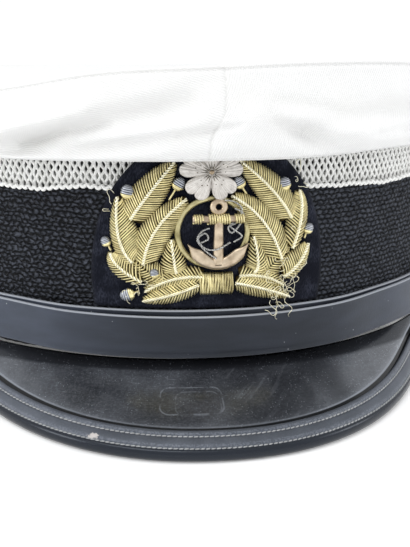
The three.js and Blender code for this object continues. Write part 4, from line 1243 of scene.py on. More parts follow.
@dataclass
class Bands:
    """The headband and the knitted band round the head."""

    headband_turns: int = 240
    knit_turns: int = 900
    knit_rows: int = 56
    fibres: int = 1300

    def headband(self) -> Shape:
        """A leather wall with a rolled foot and a rounded upper edge."""
        outer, half, low = BAND.headband_outer, BAND.headband_wall / 2, -BAND.height + 1

        def section(turn: Array) -> list[tuple[Array, Array]]:
            """Gives the wall's corners, rounded at the top and at the foot."""
            top = net_top(turn) - 1
            corners = [(half * math.cos(a), low - math.sin(a)) for a in np.radians(range(0, 181, 30))]
            for t in (0.03, 0.06, 0.1, 0.4, 0.7, 0.95):
                corners.append((0.25 * math.sin(t * math.pi) - half, mix(low, top, t)))
            corners += [(-half * math.cos(a), top + math.sin(a)) for a in np.radians(range(0, 181, 45))]
            return [(outer - half + out + 0 * turn, up + 0 * turn) for out, up in corners]

        return ring_wall(self.headband_turns, section)

    def knit(self) -> Shape:
        """The braid's ring with soft ridges and uneven edges."""
        def section(turn: Array) -> list[tuple[Array, Array]]:
            """Gives the ring's section: the outer face row by row, then the back."""
            low, high = -BAND.height + BAND.clearance, net_foot(turn) - 0.1
            rows = []
            for t in np.linspace(0, 1, self.knit_rows):
                up = mix(low, high, t)
                ends = np.exp(-t * BAND.height / 0.6) + np.exp(-(1 - t) * BAND.height / 0.6)
                soft = 0.18 * np.sin(up * 1.9 + np.sin(turn * 31) * 1.2) * np.sin(turn * 190 + up * 3)
                lumpy = 0.16 * np.sin(turn * 47 + up * 0.6) + 0.12 * np.sin(turn * 83 - up * 0.9)
                rows.append((BAND.knit_proud - 0.15 - 0.9 * ends + soft + lumpy, up + 0 * turn))
            back = [(-1.2 + 0 * turn, high), (-1.8 + 0 * turn, 0 * turn), (-1.8 + 0 * turn, low + 0 * turn)]
            return rows + back

        return ring_wall(self.knit_turns, section)

    def fuzz(self) -> Shape:
        """Short curved hairs that stand off the braid."""
        rng = np.random.default_rng(11)
        turn = rng.uniform(-math.pi, math.pi, (self.fibres, 1))
        up = rng.uniform(-BAND.height + 1, -0.5, (self.fibres, 1))
        lean = rng.uniform(-math.pi, math.pi, (self.fibres, 1))
        length = rng.uniform(1.2, 3.4, (self.fibres, 1))
        t = np.linspace(0, 1, 5)
        bow = rng.uniform(-0.8, 0.8, (self.fibres, 1)) * t * t
        along = length * t * np.cos(lean) + bow * np.sin(lean)
        rise = np.clip(up + length * t * np.sin(lean) + bow * np.cos(lean), -BAND.height + 0.4, 0.0)
        out = BAND.knit_proud - 0.1 + rng.uniform(0.25, 0.9, (self.fibres, 1)) * np.sin(t * math.pi * 0.8)
        return tubes(on_band(along, rise, out, turn), outward(along, turn), 0.05, None, 3)

    def build(self) -> None:
        """Makes both bands and the braid's hairs."""
        dress(self.headband(), "headband_leather", [Stuff.LINING.material], ["headband"])
        dress(self.knit(), "knit_braid", [Knit().material()], ["knit_band"])
        fuzz = Plain("black hairs", (0.03, 0.031, 0.036), 0.4, 1.0, 0.6, 0.01)
        dress(self.fuzz(), "knit_hairs", [fuzz.material()])


@dataclass
class Peak:
    """The glossy board, its bound rim and the two rows of stitches on the binding."""

    reach: float = 32.5
    drop: float = 16.0
    wall: float = 1.6
    camber: float = 0.8
    corner: float = math.radians(58.0)
    nose: float = 2.0
    inner: float = 1.1
    binding: float = 7.8
    seams: tuple[float, float] = (-3.6, 0.1)
    stitch_pitch: float = 1.35
    chip: tuple[float, float] = (math.radians(-15.2), -0.7)
    board_map: float = 112.0
    cover_map: float = 125.0

    def section(self, turn: Array) -> tuple[Array, Array, Array, Array]:
        """Works out the rim, the direction from root to rim, the face's normal and the width.

        The reach shrinks with the turn's share of the corner's. The rim stands on the slope
        of the floor and the root is just under the band.

        Args:
            turn: Turn round the head.

        Returns:
            Edge points, unit vectors along, unit normals, and widths.
        """
        heel = BAND.half_length + BAND.headband_outer
        slope = self.drop / (heel + BAND.half_length + self.reach)
        share = np.abs(turn) / self.corner
        reach = (self.reach - self.nose) * (1.0 - share ** 2.3) ** 2.35
        root = around(0.0, turn, -BAND.height)
        edge = around(reach, turn, 0.0)
        floor = -BAND.height - (heel - edge[..., 1]) * slope
        edge[..., 2] = mix(root[..., 2], floor + self.nose, np.sqrt(1.0 - share ** 10))
        gap = edge - root
        flatness = np.hypot(gap[..., 0], gap[..., 1]) / np.linalg.norm(gap, axis=-1)
        root[..., 2] -= flatness * self.wall / 2
        along = edge - root
        width = np.linalg.norm(along, axis=-1)
        along = unit(along)
        level = unit(around(1.0, turn, 0.0))
        fall, flat = -along[..., 2], np.hypot(along[..., 0], along[..., 1])
        normal = unit(np.stack([fall * level[..., 0], fall * level[..., 1], flat], -1))
        return edge, along, normal, width

    def place(self, turn: Array, x: Array, y: Array) -> Array:
        """Places points of the section: x from the root to the rim at 0, y off the face."""
        turn, x, y = np.broadcast_arrays(turn, x, y)
        edge, along, normal, width = self.section(turn)
        share = np.clip(1.0 + x / width, 0.0, 1.0)
        camber = self.camber * 4 * share * (1 - share) * np.minimum(1.0, width / self.reach)
        return edge + along * x[..., None] + normal * (y + camber)[..., None]

    def turns(self, count: int) -> Array:
        """Returns turns from corner to corner, closer together at the ends."""
        return self.corner * 0.985 * np.sin(np.linspace(-1, 1, count) * math.pi / 2)

    def board(self) -> Shape:
        """The board: upper face, rounded rim and lower face, carried along the turns."""
        turn = self.turns(200)[:, None]
        width = self.section(turn)[3]
        half = self.wall / 2
        share = np.linspace(1, 0, 34)
        rim = np.radians([60, 30, 0, -30, -60])
        x = np.concatenate([-width * share, half * 0.5 * np.cos(rim) + 0 * turn, -width * share[::-1]], 1)
        y = np.concatenate([0 * share + half, half * np.sin(rim), 0 * share - half]) + 0 * turn
        points = self.place(turn, x, y)
        rim_width = np.broadcast_to(width, (len(turn), len(rim)))
        away = np.concatenate([width * (1 - share), rim_width, width * (1 - share[::-1]) + 40], 1)
        places = np.stack(np.broadcast_arrays(turn * self.board_map, away), -1)
        board = surface(points, looped(places))
        # The tone is the nearness to the binding, which places the painted highlight and the painted groove
        # shadow.
        near = np.exp(-np.maximum(width * share - self.leg(turn), 0.0) / 2.5)
        tone = np.concatenate([near, np.ones_like(rim_width), near[:, ::-1]], 1)
        board.tone[:tone.size] = tone.ravel()
        return board

    def leg(self, turn: Array) -> Array:
        """Returns how far the binding reaches from the rim over the board."""
        width = self.section(turn)[3]
        most = width - 2 * self.nose / 3 - BAND.clearance
        return np.maximum(BAND.clearance, np.minimum(self.binding - self.nose, most))

    def relief(self, x: Array, full: Array) -> Array:
        """Height of the binding's upper face over flat: dips at the seams, rolls between."""
        at = np.where(x < 0, x / full * (self.binding - self.nose), x)
        dips = -0.26 * bell(at, self.seams[0], 0.42) - 0.32 * bell(at, self.seams[1], 0.45)
        rolls = 0.14 * bell(at, -1.75, 1.1) + 0.12 * bell(at, -4.7, 0.5)
        ease = -0.8 * bell(at, -5.8, 0.22)
        return (dips + rolls + ease) * np.minimum(1.0, full / 4.0)

    def cover(self) -> Shape:
        """The binding: upper face with its seams, rounded nose, lower face, and its inside."""
        turn = self.turns(260)[:, None]
        full = self.leg(turn)
        share = np.concatenate([[1.0, 0.985, 0.96], np.linspace(0.93, 0.03, 34)])
        bend = np.radians(np.linspace(90, -90, 15))
        under = np.linspace(0.05, 1, 8)
        inside = np.radians(np.linspace(-90, 90, 7))
        face, flat = -full * share, 0 * full + 0 * under
        arc = self.nose * np.cos(bend) + 0 * turn
        x = np.concatenate([
            face, arc, -full * under,
            -full * under[::-1], self.inner * np.cos(inside) + 0 * turn, -full * under,
        ], 1)
        y = np.concatenate([
            self.nose + self.relief(face, full), self.nose * np.sin(bend) + self.relief(arc, full) * (bend > 0),
            flat - self.nose, flat - self.inner, self.inner * np.sin(inside) + 0 * turn, flat + self.inner,
        ], 1)
        points = self.place(turn, x, y)
        way = walked(looped(points), 1)
        return surface(points, np.stack(np.broadcast_arrays(turn * self.cover_map, way), -1))

    def stitches(self) -> Shape:
        """Two rows of short stitches in the binding's seams."""
        rows = []
        for seam, spread in zip(self.seams, (0.95, 0.97)):
            turn = self.turns(900) * spread
            full = self.leg(turn)
            x = seam * full / (self.binding - self.nose) if seam < 0 else seam + 0 * full
            drop = self.nose - math.sqrt(self.nose ** 2 - max(seam, 0.0) ** 2)
            path = self.place(turn, x, self.nose - drop + self.relief(x, full) + 0.1)
            middles, ahead = evenly(path, self.stitch_pitch)
            at = np.interp(np.arange(len(middles)), [0, len(middles) - 1], [0, len(turn) - 1]).astype(int)
            normal = unit(self.place(turn, x, self.nose + 1.0) - self.place(turn, x, self.nose))[at]
            side = unit(np.cross(normal, ahead))
            slanted = unit(ahead + 0.16 * side)
            side = np.cross(normal, slanted)
            rng = np.random.default_rng(3)
            axes = np.stack([slanted, side, normal], 1)
            rows.append(copies(capsule(0.58, 0.24), middles, axes, tone=rng.random(len(middles))))
        return Shape.joined(rows)

    def build(self) -> None:
        """Makes the board, the binding and its stitches."""
        dress(self.board(), "peak_board", [PeakShine().material()], ["peak"])
        chip = CAP.placed(self.place(*self.chip, self.nose)) * 1000.0
        binding = BindingShine(tuple(chip)).material()
        dress(self.cover(), "peak_edge", [binding], ["peak_binding"])
        dress(self.stitches(), "peak_stitches", [Stuff.THREAD.material])


@dataclass
class Strap:
    """The chin strap's two layers and the buttons at its ends."""

    wall: float = 1.2
    height: float = 11.8
    top: float = 31.0
    step: float = 1.4
    end: float = math.radians(74.0)
    edge: float = 32.9 / 94.0
    button_turn: float = math.radians(69.0)
    button_radius: float = 5.6
    button_height: float = 3.2
    rounding: float = 0.42
    map_radius: float = 100.0

    def seat(self, turn: Array) -> Array:
        """Returns the rear layer's back: over the badge's ground in front, else on the braid."""
        over = 1.0 - smooth(np.abs(turn), self.edge * 1.05, self.edge * 1.7)
        return 1.1 + over * 1.5

    def layer(self, number: int) -> Shape:
        """One layer: a strip with rounded edges that are pressed slightly thinner."""
        turn = np.linspace(-self.end, self.end, 300)[:, None]
        back = self.seat(turn) + number * (self.wall + BAND.clearance)
        top = -self.top - number * self.step * np.cos(turn) ** 4
        r = self.rounding
        corner = np.radians([0, 30, 60, 90])
        level = np.linspace(0.06, 0.94, 14)
        out = np.concatenate([
            self.wall + 0 * level, self.wall - r + r * np.cos(corner), r - r * np.sin(corner),
            0 * level, r - r * np.cos(corner), self.wall - r + r * np.sin(corner),
        ])
        up = np.concatenate([
            level * self.height, self.height - r + r * np.sin(corner), self.height - r + r * np.cos(corner),
            level[::-1] * self.height, r - r * np.sin(corner), r - r * np.cos(corner),
        ])
        near = np.minimum(up, self.height - up)
        out = np.where(out > self.wall / 2, out - 0.16 * bell(near, 0.9, 0.35), out)
        sag = 0.14 * np.sin(turn * 9 + number) * np.sin(np.pi * up / self.height)
        points = around(back + out + sag * 0.4, turn, top - self.height + up)
        places = np.stack(np.broadcast_arrays(turn * self.map_radius, up), -1)
        return surface(points, looped(places))

    def button(self, side: int) -> Shape:
        """A round button: domed face, shallow groove, rounded rim and a flat back."""
        turn = side * self.button_turn
        back = self.seat(np.array(turn)) + 2 * (self.wall + BAND.clearance)
        middle = -self.top - self.height / 2
        share = np.array([0.04, 0.25, 0.5, 0.68, 0.74, 0.8, 0.88, 0.95, 1.0, 1.0, 0.95, 0.85, 0.4, 0.04])
        out = np.array([1.0, 0.985, 0.93, 0.84, 0.74, 0.78, 0.76, 0.66, 0.45, 0.25, 0.08, 0.0, 0.0, 0.0])
        x, y = np.moveaxis(share[:, None, None] * circle(round_turns(48)), -1, 0) * self.button_radius
        along, up = x, middle + y
        return surface(on_band(along, up, back + self.button_height * out[:, None], turn))

    def build(self) -> None:
        """Makes both layers and both buttons."""
        # The light edge colour is the painted highlight along the edges; the last number sets the painted
        # reflection toward the sides.
        leather = Leather(
            "strap leather", (0.0075, 0.0085, 0.0125), (0.36, 0.38, 0.42), self.height, 0.33, 0.8, 0.42,
        ).material()
        for number, name in enumerate(("rear", "front")):
            dress(self.layer(number), f"strap_{name}", [leather], [f"chin_strap_{name}"])
        black = [Stuff.BUTTON.material]
        for side, name in ((-1, "left"), (1, "right")):
            dress(self.button(side), f"side_button_{name}", black, [f"button_{name}"])


@dataclass(frozen=True)
class Leaf:
    """A leaf of the wreath: root, bend and tip in shares of the badge, and its half widths."""

    root: tuple[float, float]
    bend: tuple[float, float]
    tip: tuple[float, float]
    half: float
    left: float = 1.0
    right: float = 1.0


@dataclass(frozen=True)
class Bud:
    """A bud on its stem, in the same shares."""

    root: tuple[float, float]
    tip: tuple[float, float]
    size: float


@dataclass
class Badge:
    """The embroidered wreath, ring, anchor and blossom on their felt ground."""

    shift: float = 0.9
    depth: float = 8.0
    half_width: float = 28.0
    half_height: float = 23.0
    margin: float = 4.0
    ground_foot: float = -30.7
    patch_back: float = 1.1
    patch_front: float = 2.3
    leaf_height: float = 1.5
    leaf_half: float = 3.6
    wire_pitch: float = 0.8
    wire: float = 0.25
    fullness: float = 1.18
    bud_radius: float = 1.7
    bud_height: float = 2.0
    ring_radius: float = 9.05
    anchor_height: float = 18.2
    stock_half: float = 6.5
    half_span: float = 7.6
    blossom_radius: float = 8.0
    blossom_height: float = 2.6
    ring_middle: tuple[float, float] = (0.0, -0.065)
    left_leaves: tuple[Leaf, ...] = (
        Leaf((-0.74, 0.09), (-0.57, 0.4), (-0.35, 0.75), 1),
        Leaf((-0.63, -0.44), (-0.51, -0.02), (-0.24, 0.33), 0.89, 1.0, 1.15),
        Leaf((-0.73, -0.42), (-0.85, -0.12), (-0.86, 0.34), 0.72, 0.75, 1.75),
        Leaf((-0.65, -0.65), (-0.85, -0.48), (-0.93, -0.32), 0.72, 0.85, 1.5),
        Leaf((-0.33, -0.54), (-0.35, -0.41), (-0.38, -0.15), 0.56, 1.5, 1.25),
        Leaf((-0.13, -0.69), (-0.37, -0.8), (-0.64, -0.89), 0.7, 0.9, 1.0),
    )
    right_leaves: tuple[Leaf, ...] = (
        Leaf((0.73, 0.08), (0.52, 0.43), (0.22, 0.77), 0.94),
        Leaf((0.65, -0.41), (0.45, 0.06), (0.16, 0.36), 0.89, 1.15, 1.05),
        Leaf((0.76, -0.29), (0.83, 0.09), (0.81, 0.39), 0.61, 1.35, 0.95),
        Leaf((0.69, -0.63), (0.83, -0.48), (0.93, -0.26), 0.67, 1.4, 0.9),
        Leaf((0.39, -0.55), (0.42, -0.44), (0.38, -0.13), 0.56, 1.2, 1.4),
        Leaf((0.22, -0.68), (0.47, -0.76), (0.76, -0.9), 0.66, 1.0, 1.0),
    )
    filling: tuple[Leaf, ...] = (
        Leaf((-0.08, -0.6), (-0.36, -0.62), (-0.62, -0.78), 0.72),
        Leaf((0.26, -0.6), (0.48, -0.62), (0.7, -0.76), 0.78),
        Leaf((-0.45, -0.6), (-0.62, -0.5), (-0.78, -0.3), 0.8),
        Leaf((0.5, -0.58), (0.6, -0.44), (0.74, -0.26), 0.85),
    )
    left_buds: tuple[Bud, ...] = (
        Bud((-0.4, 0.31), (-0.31, 0.5), 0.95), Bud((-0.79, 0.22), (-0.77, 0.4), 1),
        Bud((-0.93, -0.3), (-0.975, -0.19), 0.75), Bud((-0.68, -0.78), (-0.78, -0.82), 1),
        Bud((-0.5, -0.68), (-0.53, -0.55), 0.7),
    )
    right_buds: tuple[Bud, ...] = (
        Bud((0.32, 0.34), (0.23, 0.51), 0.9), Bud((0.69, 0.36), (0.665, 0.475), 0.95),
        Bud((0.9, -0.2), (0.93, -0.08), 0.8),
    )
    # Places on the anchor: across as a share of the stock's half length, up of its height.
    rope: tuple[tuple[tuple[float, float], ...], ...] = (
        ((0.2, 0.99), (0.62, 0.95), (0.9, 0.84), (0.72, 0.66), (0.46, 0.6), (0.7, 0.52), (0.92, 0.44),
         (0.6, 0.36)),
        ((0.62, 0.86), (0.98, 0.76), (0.8, 0.6), (0.52, 0.5), (0.36, 0.58), (0.66, 0.68)),
        ((0.46, 0.36), (0.1, 0.3), (-0.3, 0.26), (-0.6, 0.3), (-0.78, 0.42), (-0.52, 0.5), (-0.4, 0.42),
         (-0.66, 0.36)),
        ((-0.36, 0.58), (-0.66, 0.52), (-0.82, 0.4), (-0.6, 0.28), (-0.36, 0.2), (-0.1, 0.14)),
    )
    # Left and right ends, foot and head of each group of frayed wires, and how many they are.
    frayed: tuple[tuple[float, float, float, float, int], ...] = (
        (16, 24, -30, -18, 24), (-25, -24, -9, -2, 3), (-20, -15, -29.5, -22, 7), (22, 26.5, -13, 8, 5),
    )
    # Where the first wires start, which hang straight down, and how each bends.
    hanging: tuple[tuple[float, float, float], ...] = ((16.8, -29, 0.5), (18.3, -30, -2.5), (21, -28.5, 0.2))
    # Share of the ground's height, and its half width there as a share.
    outline: Array = field(default_factory=lambda: np.array([
        (0, 0.97), (0.14, 1), (0.32, 0.99), (0.5, 0.94), (0.68, 0.83), (0.82, 0.68), (0.93, 0.5), (1, 0.34),
    ]))

    def spot(self, share: Sequence[float]) -> Array:
        """Turns shares of the badge's half sizes into millimetres along and up."""
        along, up = share
        return np.array([self.shift + along * self.half_width, -self.depth + up * self.half_height])

    @property
    def anchor_foot(self) -> Array:
        """The anchor's lowest point, on the ring and a little beside its middle."""
        return self.spot(self.ring_middle) + [1.2, -self.ring_radius]

    @property
    def over_ring(self) -> float:
        """Height over the ground at which the anchor and the blossom start."""
        return BAND.over_ring - BAND.badge_base

    def on(self, flat: Array, out: Number) -> Array:
        """Places flat badge points at a height over the ground."""
        return on_band(flat[..., 0], flat[..., 1], BAND.badge_base + out)
    def ground(self) -> Shape:
        """The felt: rows from foot to top, domed at its rim, with a flat back."""
        up = np.linspace(0, 1, 60)
        half = np.interp(up, self.outline[:, 0], self.outline[:, 1])
        half = np.convolve(np.pad(half, 4, mode="edge"), np.ones(9) / 9, mode="valid")[:, None]
        half = half * (self.half_width + self.margin)
        across = np.concatenate([np.linspace(-1, 1, 50), np.linspace(1, -1, 20)])
        front = np.arange(70) < 50
        edge = np.minimum((1 - np.abs(across)) * half, (1 - up[:, None]) * 12 + 1)
        rise = self.patch_front - 0.75 * np.exp(-edge / 0.45) + 0.16 * bell(edge, 1.1, 0.5)
        out = np.where(front, rise, self.patch_back)
        high = mix(self.ground_foot, BAND.net_front - BAND.clearance, up)[:, None]
        return surface(on_band(self.shift + across * half, high, out))

    def line(self, leaf: Leaf, share: Array) -> tuple[Array, Array]:
        """Returns points and directions of a leaf's midrib, a curve through root, bend and tip."""
        root, tip = self.spot(leaf.root), self.spot(leaf.tip)
        control = 2 * self.spot(leaf.bend) - (root + tip) / 2
        t = share[..., None]
        at = (1 - t) ** 2 * root + 2 * t * (1 - t) * control + t * t * tip
        return at, unit(2 * (1 - t) * (control - root) + 2 * t * (tip - control))

    def leaf_point(self, leaf: Leaf, share: Array, across: Array, out: Array) -> Array:
        """Places points of a leaf from shares of its length, its half width and heights."""
        at, ahead = self.line(leaf, share)
        across = across * np.where(across > 0, leaf.left, leaf.right)
        wide = (across * leaf.half * self.leaf_half * self.fullness * self.swell(share))[..., None]
        return self.on(at + wide * to_left(ahead), out)

    def swell(self, share: Array) -> Array:
        """Share of a leaf's full width at a share of its length: blunt root, pointed tip."""
        return np.sin(np.pi * mix(0.2, 0.96, np.clip(share, 0, 1))) ** 0.75

    def leaf(self, leaf: Leaf, lifted: float, seed: int, ribbed: bool = True) -> Shape:
        """A padded leaf: a low dome, slanted wires from its midrib to both edges, a twisted rib.

        A wire starts on the midrib and runs outward while it moves toward the tip. Its height
        falls with the square of its way to the edge.

        Args:
            leaf: The leaf.
            lifted: Height over the ground, where it lies on other leaves.
            seed: Seed of the wires' tones.
            ribbed: Whether the leaf has its rib.

        Returns:
            The shape; finish 0 is the padding, 1 the wires and 2 the rib.
        """
        rng = np.random.default_rng(seed)
        share = np.linspace(0.0, 1.0, 16)[:, None]
        angle = np.linspace(0, np.pi, 9)
        high = self.leaf_height * mix(0.5, 1, self.swell(share))
        high = lifted + 0.62 * high * np.sin(angle) ** 0.7
        # The padding under the wires is near black: painted shade in the gaps between them.
        parts = [surface(self.leaf_point(leaf, share + 0 * angle, 0.95 * np.cos(angle), high))]
        length = np.linalg.norm(self.spot(leaf.tip) - self.spot(leaf.root)) * 1.04
        wires = int(length / self.wire_pitch)
        start = np.linspace(0.0, 0.92, wires)[:, None]
        way = np.linspace(0.03, 1.0, 8)
        for sign in (-1.0, 1.0):
            jitter = rng.uniform(-0.08, 0.08, (wires, 1)) / wires
            wide = leaf.half * self.leaf_half * self.fullness * (leaf.left if sign > 0 else leaf.right)
            reach = np.minimum(0.72 * wide * self.swell(start) / length, (1.0 - start) * 0.9)
            along = start + jitter + reach * way
            tall = self.leaf_height * mix(0.5, 1, self.swell(along))
            out = lifted + tall * (1.0 - 0.8 * way ** 2.6)
            paths = self.leaf_point(leaf, along, sign * way, out)
            level = outward(self.line(leaf, along)[0][..., 0])
            tone = 0.4 + 0.5 * rng.random(wires)
            strands = tubes(paths, level, self.wire, self.wire * 1.3, 5, tone=tone, finish=1)
            # Painted shade: each wire's tone darkens toward the leaf's edge, where it dips to the ground.
            ends = np.append(np.repeat(1.0 - 0.6 * way ** 3, 5), [1.0, 0.4])
            strands.tone = strands.tone * np.tile(ends, wires)
            parts.append(strands)
        if ribbed:
            parts.append(self.twisted(leaf, lifted, rng))
        return Shape.joined(parts)

    def twisted(self, leaf: Leaf, lifted: float, rng: np.random.Generator) -> Shape:
        """The midrib: two strands wound round each other along the leaf's ridge."""
        share = np.linspace(-0.01, 1.0, 130)
        length = np.linalg.norm(self.spot(leaf.tip) - self.spot(leaf.root)) * 1.05
        at, ahead = self.line(leaf, share)
        high = lifted + self.leaf_height * mix(0.5, 1, self.swell(share)) + 0.2
        tone = rng.random(2) * 0.4 + 0.6
        return self.wound(at, ahead, high, share * length / 1.6, 0.25, 0.26, tone=tone, finish=2)

    def wound(self, flat: Array, ahead: Array, out: Array, rounds: Array, radius: float, thick: float,
              **options) -> Shape:
        """Two strands wound round each other along a line on the badge.

        Args:
            flat: Points of the line.
            ahead: Directions of the line.
            out: Heights of the line over the ground.
            rounds: How many rounds the strands have made at the points.
            radius: Distance of the strands' middles from the line.
            thick: Radius of a strand.
            **options: Options of surfaces().

        Returns:
            Both strands.
        """
        strands = []
        for phase in (0.0, np.pi):
            angle = rounds * 2 * np.pi + phase
            swing = to_left(ahead) * (radius * np.cos(angle))[:, None]
            strands.append(self.on(flat + swing, out + radius * np.sin(angle)))
        return tubes(np.stack(strands), outward(np.stack([flat[:, 0]] * 2)), thick, None, 5, **options)

    def bud(self, bud: Bud, lifted: float) -> Shape:
        """A bud: a ribbed silver ball on a gold cup and a thin gold stem.

        The ball's rings follow each other from foot to top, as a cosine of the polar angle.

        Args:
            bud: The bud.
            lifted: Height over the ground.

        Returns:
            The shape; finish 0 is silver and 1 gold.
        """
        radius = bud.size * self.bud_radius
        root, tip = self.spot(bud.root), self.spot(bud.tip)
        ahead = unit(tip - root)
        angle = round_turns(24)

        def rings(theta: Array, long: float, wide: Number, tall: Number, **options) -> Shape:
            """Spins rings about the stem's line at the polar angles theta."""
            flat = tip - ahead * (radius * long * np.cos(theta))[..., None]
            flat = flat + to_left(ahead) * (radius * wide * np.sin(theta) * np.cos(angle))[..., None]
            high = lifted + self.bud_height * (0.52 + tall * np.sin(theta) * np.sin(angle))
            return surface(self.on(flat, high), **options)

        theta = np.linspace(0.1, np.pi - 0.1, 26)[:, None]
        ribbed = 1.0 + 0.05 * np.cos(theta * 14)
        ball = rings(theta, 1.1, ribbed, 0.5 * ribbed, tone=0.6)
        cup = rings(np.linspace(0.1, 1.25, 6)[:, None], 1.22, 1.1, 0.54, finish=1, tone=0.7)
        stem = mix(root, tip - ahead * radius, np.linspace(0, 1, 8)[:, None])[None]
        stalk = tubes(self.on(stem, lifted + 0.45), outward(stem[..., 0]), 0.34, None, 6, finish=1, tone=0.6)
        return Shape.joined([ball, cup, stalk])

    def tie(self) -> Shape:
        """The wound tie: upright wires side by side, arched as if over a rounded pad."""
        middle = self.spot((0.04, -0.68))
        across = np.linspace(-1, 1, 14)[:, None]
        t = np.linspace(-1, 1, 11)
        x = middle[0] + across * 4.1 + 0.1 * np.sin(t * 3 + across * 9)
        flat = np.stack(np.broadcast_arrays(x, middle[1] + t * 2.9), -1)
        out = 0.35 + 1.35 * (1 - t ** 4) * mix(0.75, 1.0, np.sqrt(1 - across ** 2))
        rng = np.random.default_rng(8)
        return tubes(self.on(flat, out), outward(flat[..., 0]), 0.36, 0.4, 6, tone=rng.random(14))

    def hoop(self, middle: Array, radius: float, across: float, high: float, out: float,
             count: int) -> Shape:
        """A smooth hoop with an oval section, flat on the badge."""
        angle = round_turns(count)[:, None]
        section = round_turns(12)
        flat = middle + (radius + across * np.cos(section))[:, None] * circle(angle)
        points = self.on(flat, out + high * (1 + np.sin(section)))
        along = np.append(angle[:, 0], 2 * np.pi) * radius
        places = np.stack(np.broadcast_arrays(along[:, None], np.linspace(0, 1, 13)), -1)
        return surface(points, places, chain=True)

    def anchor(self) -> Shape:
        """The anchor: shank, curved arms with broad points, wound stock and the ring on top."""
        foot, base = self.anchor_foot, self.over_ring
        eye = foot + [0, self.anchor_height - 2.1]
        t = np.linspace(0, 1, 24)
        shank = foot + np.stack([0 * t, mix(0.5, self.anchor_height - 4.4, t)], -1)
        parts = [self.bar(shank, mix(1.5, 1.15, t), 0.95, base)]
        t = np.linspace(0, 1, 60)[:, None]
        lift = self.anchor_height * 0.34
        ends = [foot + [-self.half_span, lift], foot + [0, -lift * 0.78], foot + [self.half_span, lift]]
        arms = (1 - t) ** 2 * ends[0] + 2 * t * (1 - t) * ends[1] + t * t * ends[2]
        from_end = 1 - np.abs(2 * t[:, 0] - 1)
        width = mix(0.15, 1.75, smooth(from_end, -0.02, 0.34)) * mix(1.0, 0.85, smooth(from_end, 0.5, 1.0))
        parts.append(self.bar(arms, width, 0.85, base))
        up = eye[1] - 3.2
        t = np.linspace(-1, 1, 30)
        stock = np.stack([foot[0] + t * self.stock_half, up + 0 * t], -1)
        parts.append(self.bar(stock, 1.0 + 0 * t, 0.8, base))
        parts.append(self.hoop(eye, 1.5, 0.78, 0.65, base, 40))
        for low, high, reach in ((-0.42, 0.42, 1.25), (-0.97, -0.62, 1.1), (0.62, 0.97, 1.1)):
            wound = np.linspace(low, high, 200)
            turn = wound * self.stock_half / 0.6 * 2 * np.pi
            flat = np.stack([foot[0] + wound * self.stock_half, up + reach * np.cos(turn)], -1)
            path = self.on(flat, base + 0.85 + (reach - 0.1) * np.sin(turn))
            parts.append(tubes(path[None], outward(flat[None, :, 0]), 0.26, None, 5, finish=1, tone=0.7))
        return Shape.joined(parts)

    def bar(self, flat: Array, half: Array, high: float, base: float) -> Shape:
        """A bar with a flattened oval section along a line on the badge."""
        path = self.on(flat, base + high)
        return tubes(path[None], outward(flat[None, :, 0]), half[None], high, 12, tone=0.6)

    def course(self, places: Sequence[Sequence[float]], count: int) -> Array:
        """A smooth curve through places on the badge, by four neighbouring places at a time."""
        knots = np.array([places[0], *places, places[-1]], float)
        at = np.linspace(0, len(places) - 1 - 1e-6, count)
        i = at.astype(int)
        t = (at - i)[:, None]
        return through(*(knots[i + k] for k in range(4)), t)

    def anchor_rope(self) -> Shape:
        """The small twisted rope over the anchor and its loose loops on both sides."""
        foot = self.anchor_foot
        scale = np.array([self.stock_half, self.anchor_height])
        parts = []
        for places in self.rope:
            loop = foot + self.course(places, 40 * len(places)) * scale
            high = self.over_ring + 0.7 + 1.5 * bell(loop[:, 0], foot[0], 2.2)
            ahead = unit(np.gradient(loop, axis=0))
            parts.append(self.wound(loop, ahead, high, walked(loop, 0) / 1.1, 0.13, 0.1365, tone=[0.9, 0.4]))
        return Shape.joined(parts)

    def blossom(self) -> Shape:
        """Five notched petals that dome, with grooves between them, and a small boss.

        The reach at an angle is a rounded lobe for each fifth of the circle less a notch at
        its middle; the height falls from the boss to the rim and sinks between petals.

        Returns:
            The shape; finish 0 is the petals, 1 the boss and 2 the dots.
        """
        middle, base = self.spot((-0.03, 0.645)), self.over_ring
        angle = round_turns(240)
        petal = np.abs(((angle - np.pi / 2) / (2 * np.pi / 5) + 0.5) % 1 - 0.5) * 2
        notch = 0.13 * np.exp(-np.abs(petal / 0.13) ** 1.2)
        reach = self.blossom_radius * (np.sqrt(1 - (petal * 0.94) ** 4) - notch)
        share = np.concatenate([np.linspace(0.16, 0.96, 16), [1.0, 1.0, 0.96, 0.5, 0.45, 0.1]])[:, None]
        low = np.array([0] * 16 + [0, 1, 2, 2, 3, 3])[:, None]
        dome = mix(0.6, 0.42, share) + 0.16 * np.sin(np.pi * share)
        dome = dome - 0.22 * petal ** 7 * np.sin(np.pi * np.clip(share * 0.9, 0, 1))
        lines = (0.03 * np.cos(angle * 45) - 0.025 * bell(petal, 0.0, 0.12)) * share
        face = base + self.blossom_height * (dome + lines)
        out = np.select([low == 0, low == 1, low == 2], [face, base + 0.35, base], 0.05)
        flat = middle + (share * reach)[..., None] * circle(angle)
        places = np.stack(np.broadcast_arrays(np.linspace(0, 1, 241), share * self.blossom_radius), -1)
        petals = surface(self.on(flat, out), places)
        theta = np.linspace(0.08, np.pi / 2, 7)[:, None]
        flat = middle + 0.65 * np.sin(theta)[..., None] * circle(round_turns(24))
        boss = surface(self.on(flat, base + 1.6 + 0.5 * np.cos(theta)), finish=1, tone=0.3)
        reach = np.tile([3.3, 4.1, 3.5], 5)
        spread = np.pi / 2 + np.arange(5).repeat(3) * 2 * np.pi / 5 + np.tile([-0.3, 0.03, 0.33], 5)
        way = reach[:, None] * np.linspace(0.25, 1.0, 8)
        flat = middle + circle(spread)[:, None] * way[..., None]
        high = base + self.blossom_height * 0.76
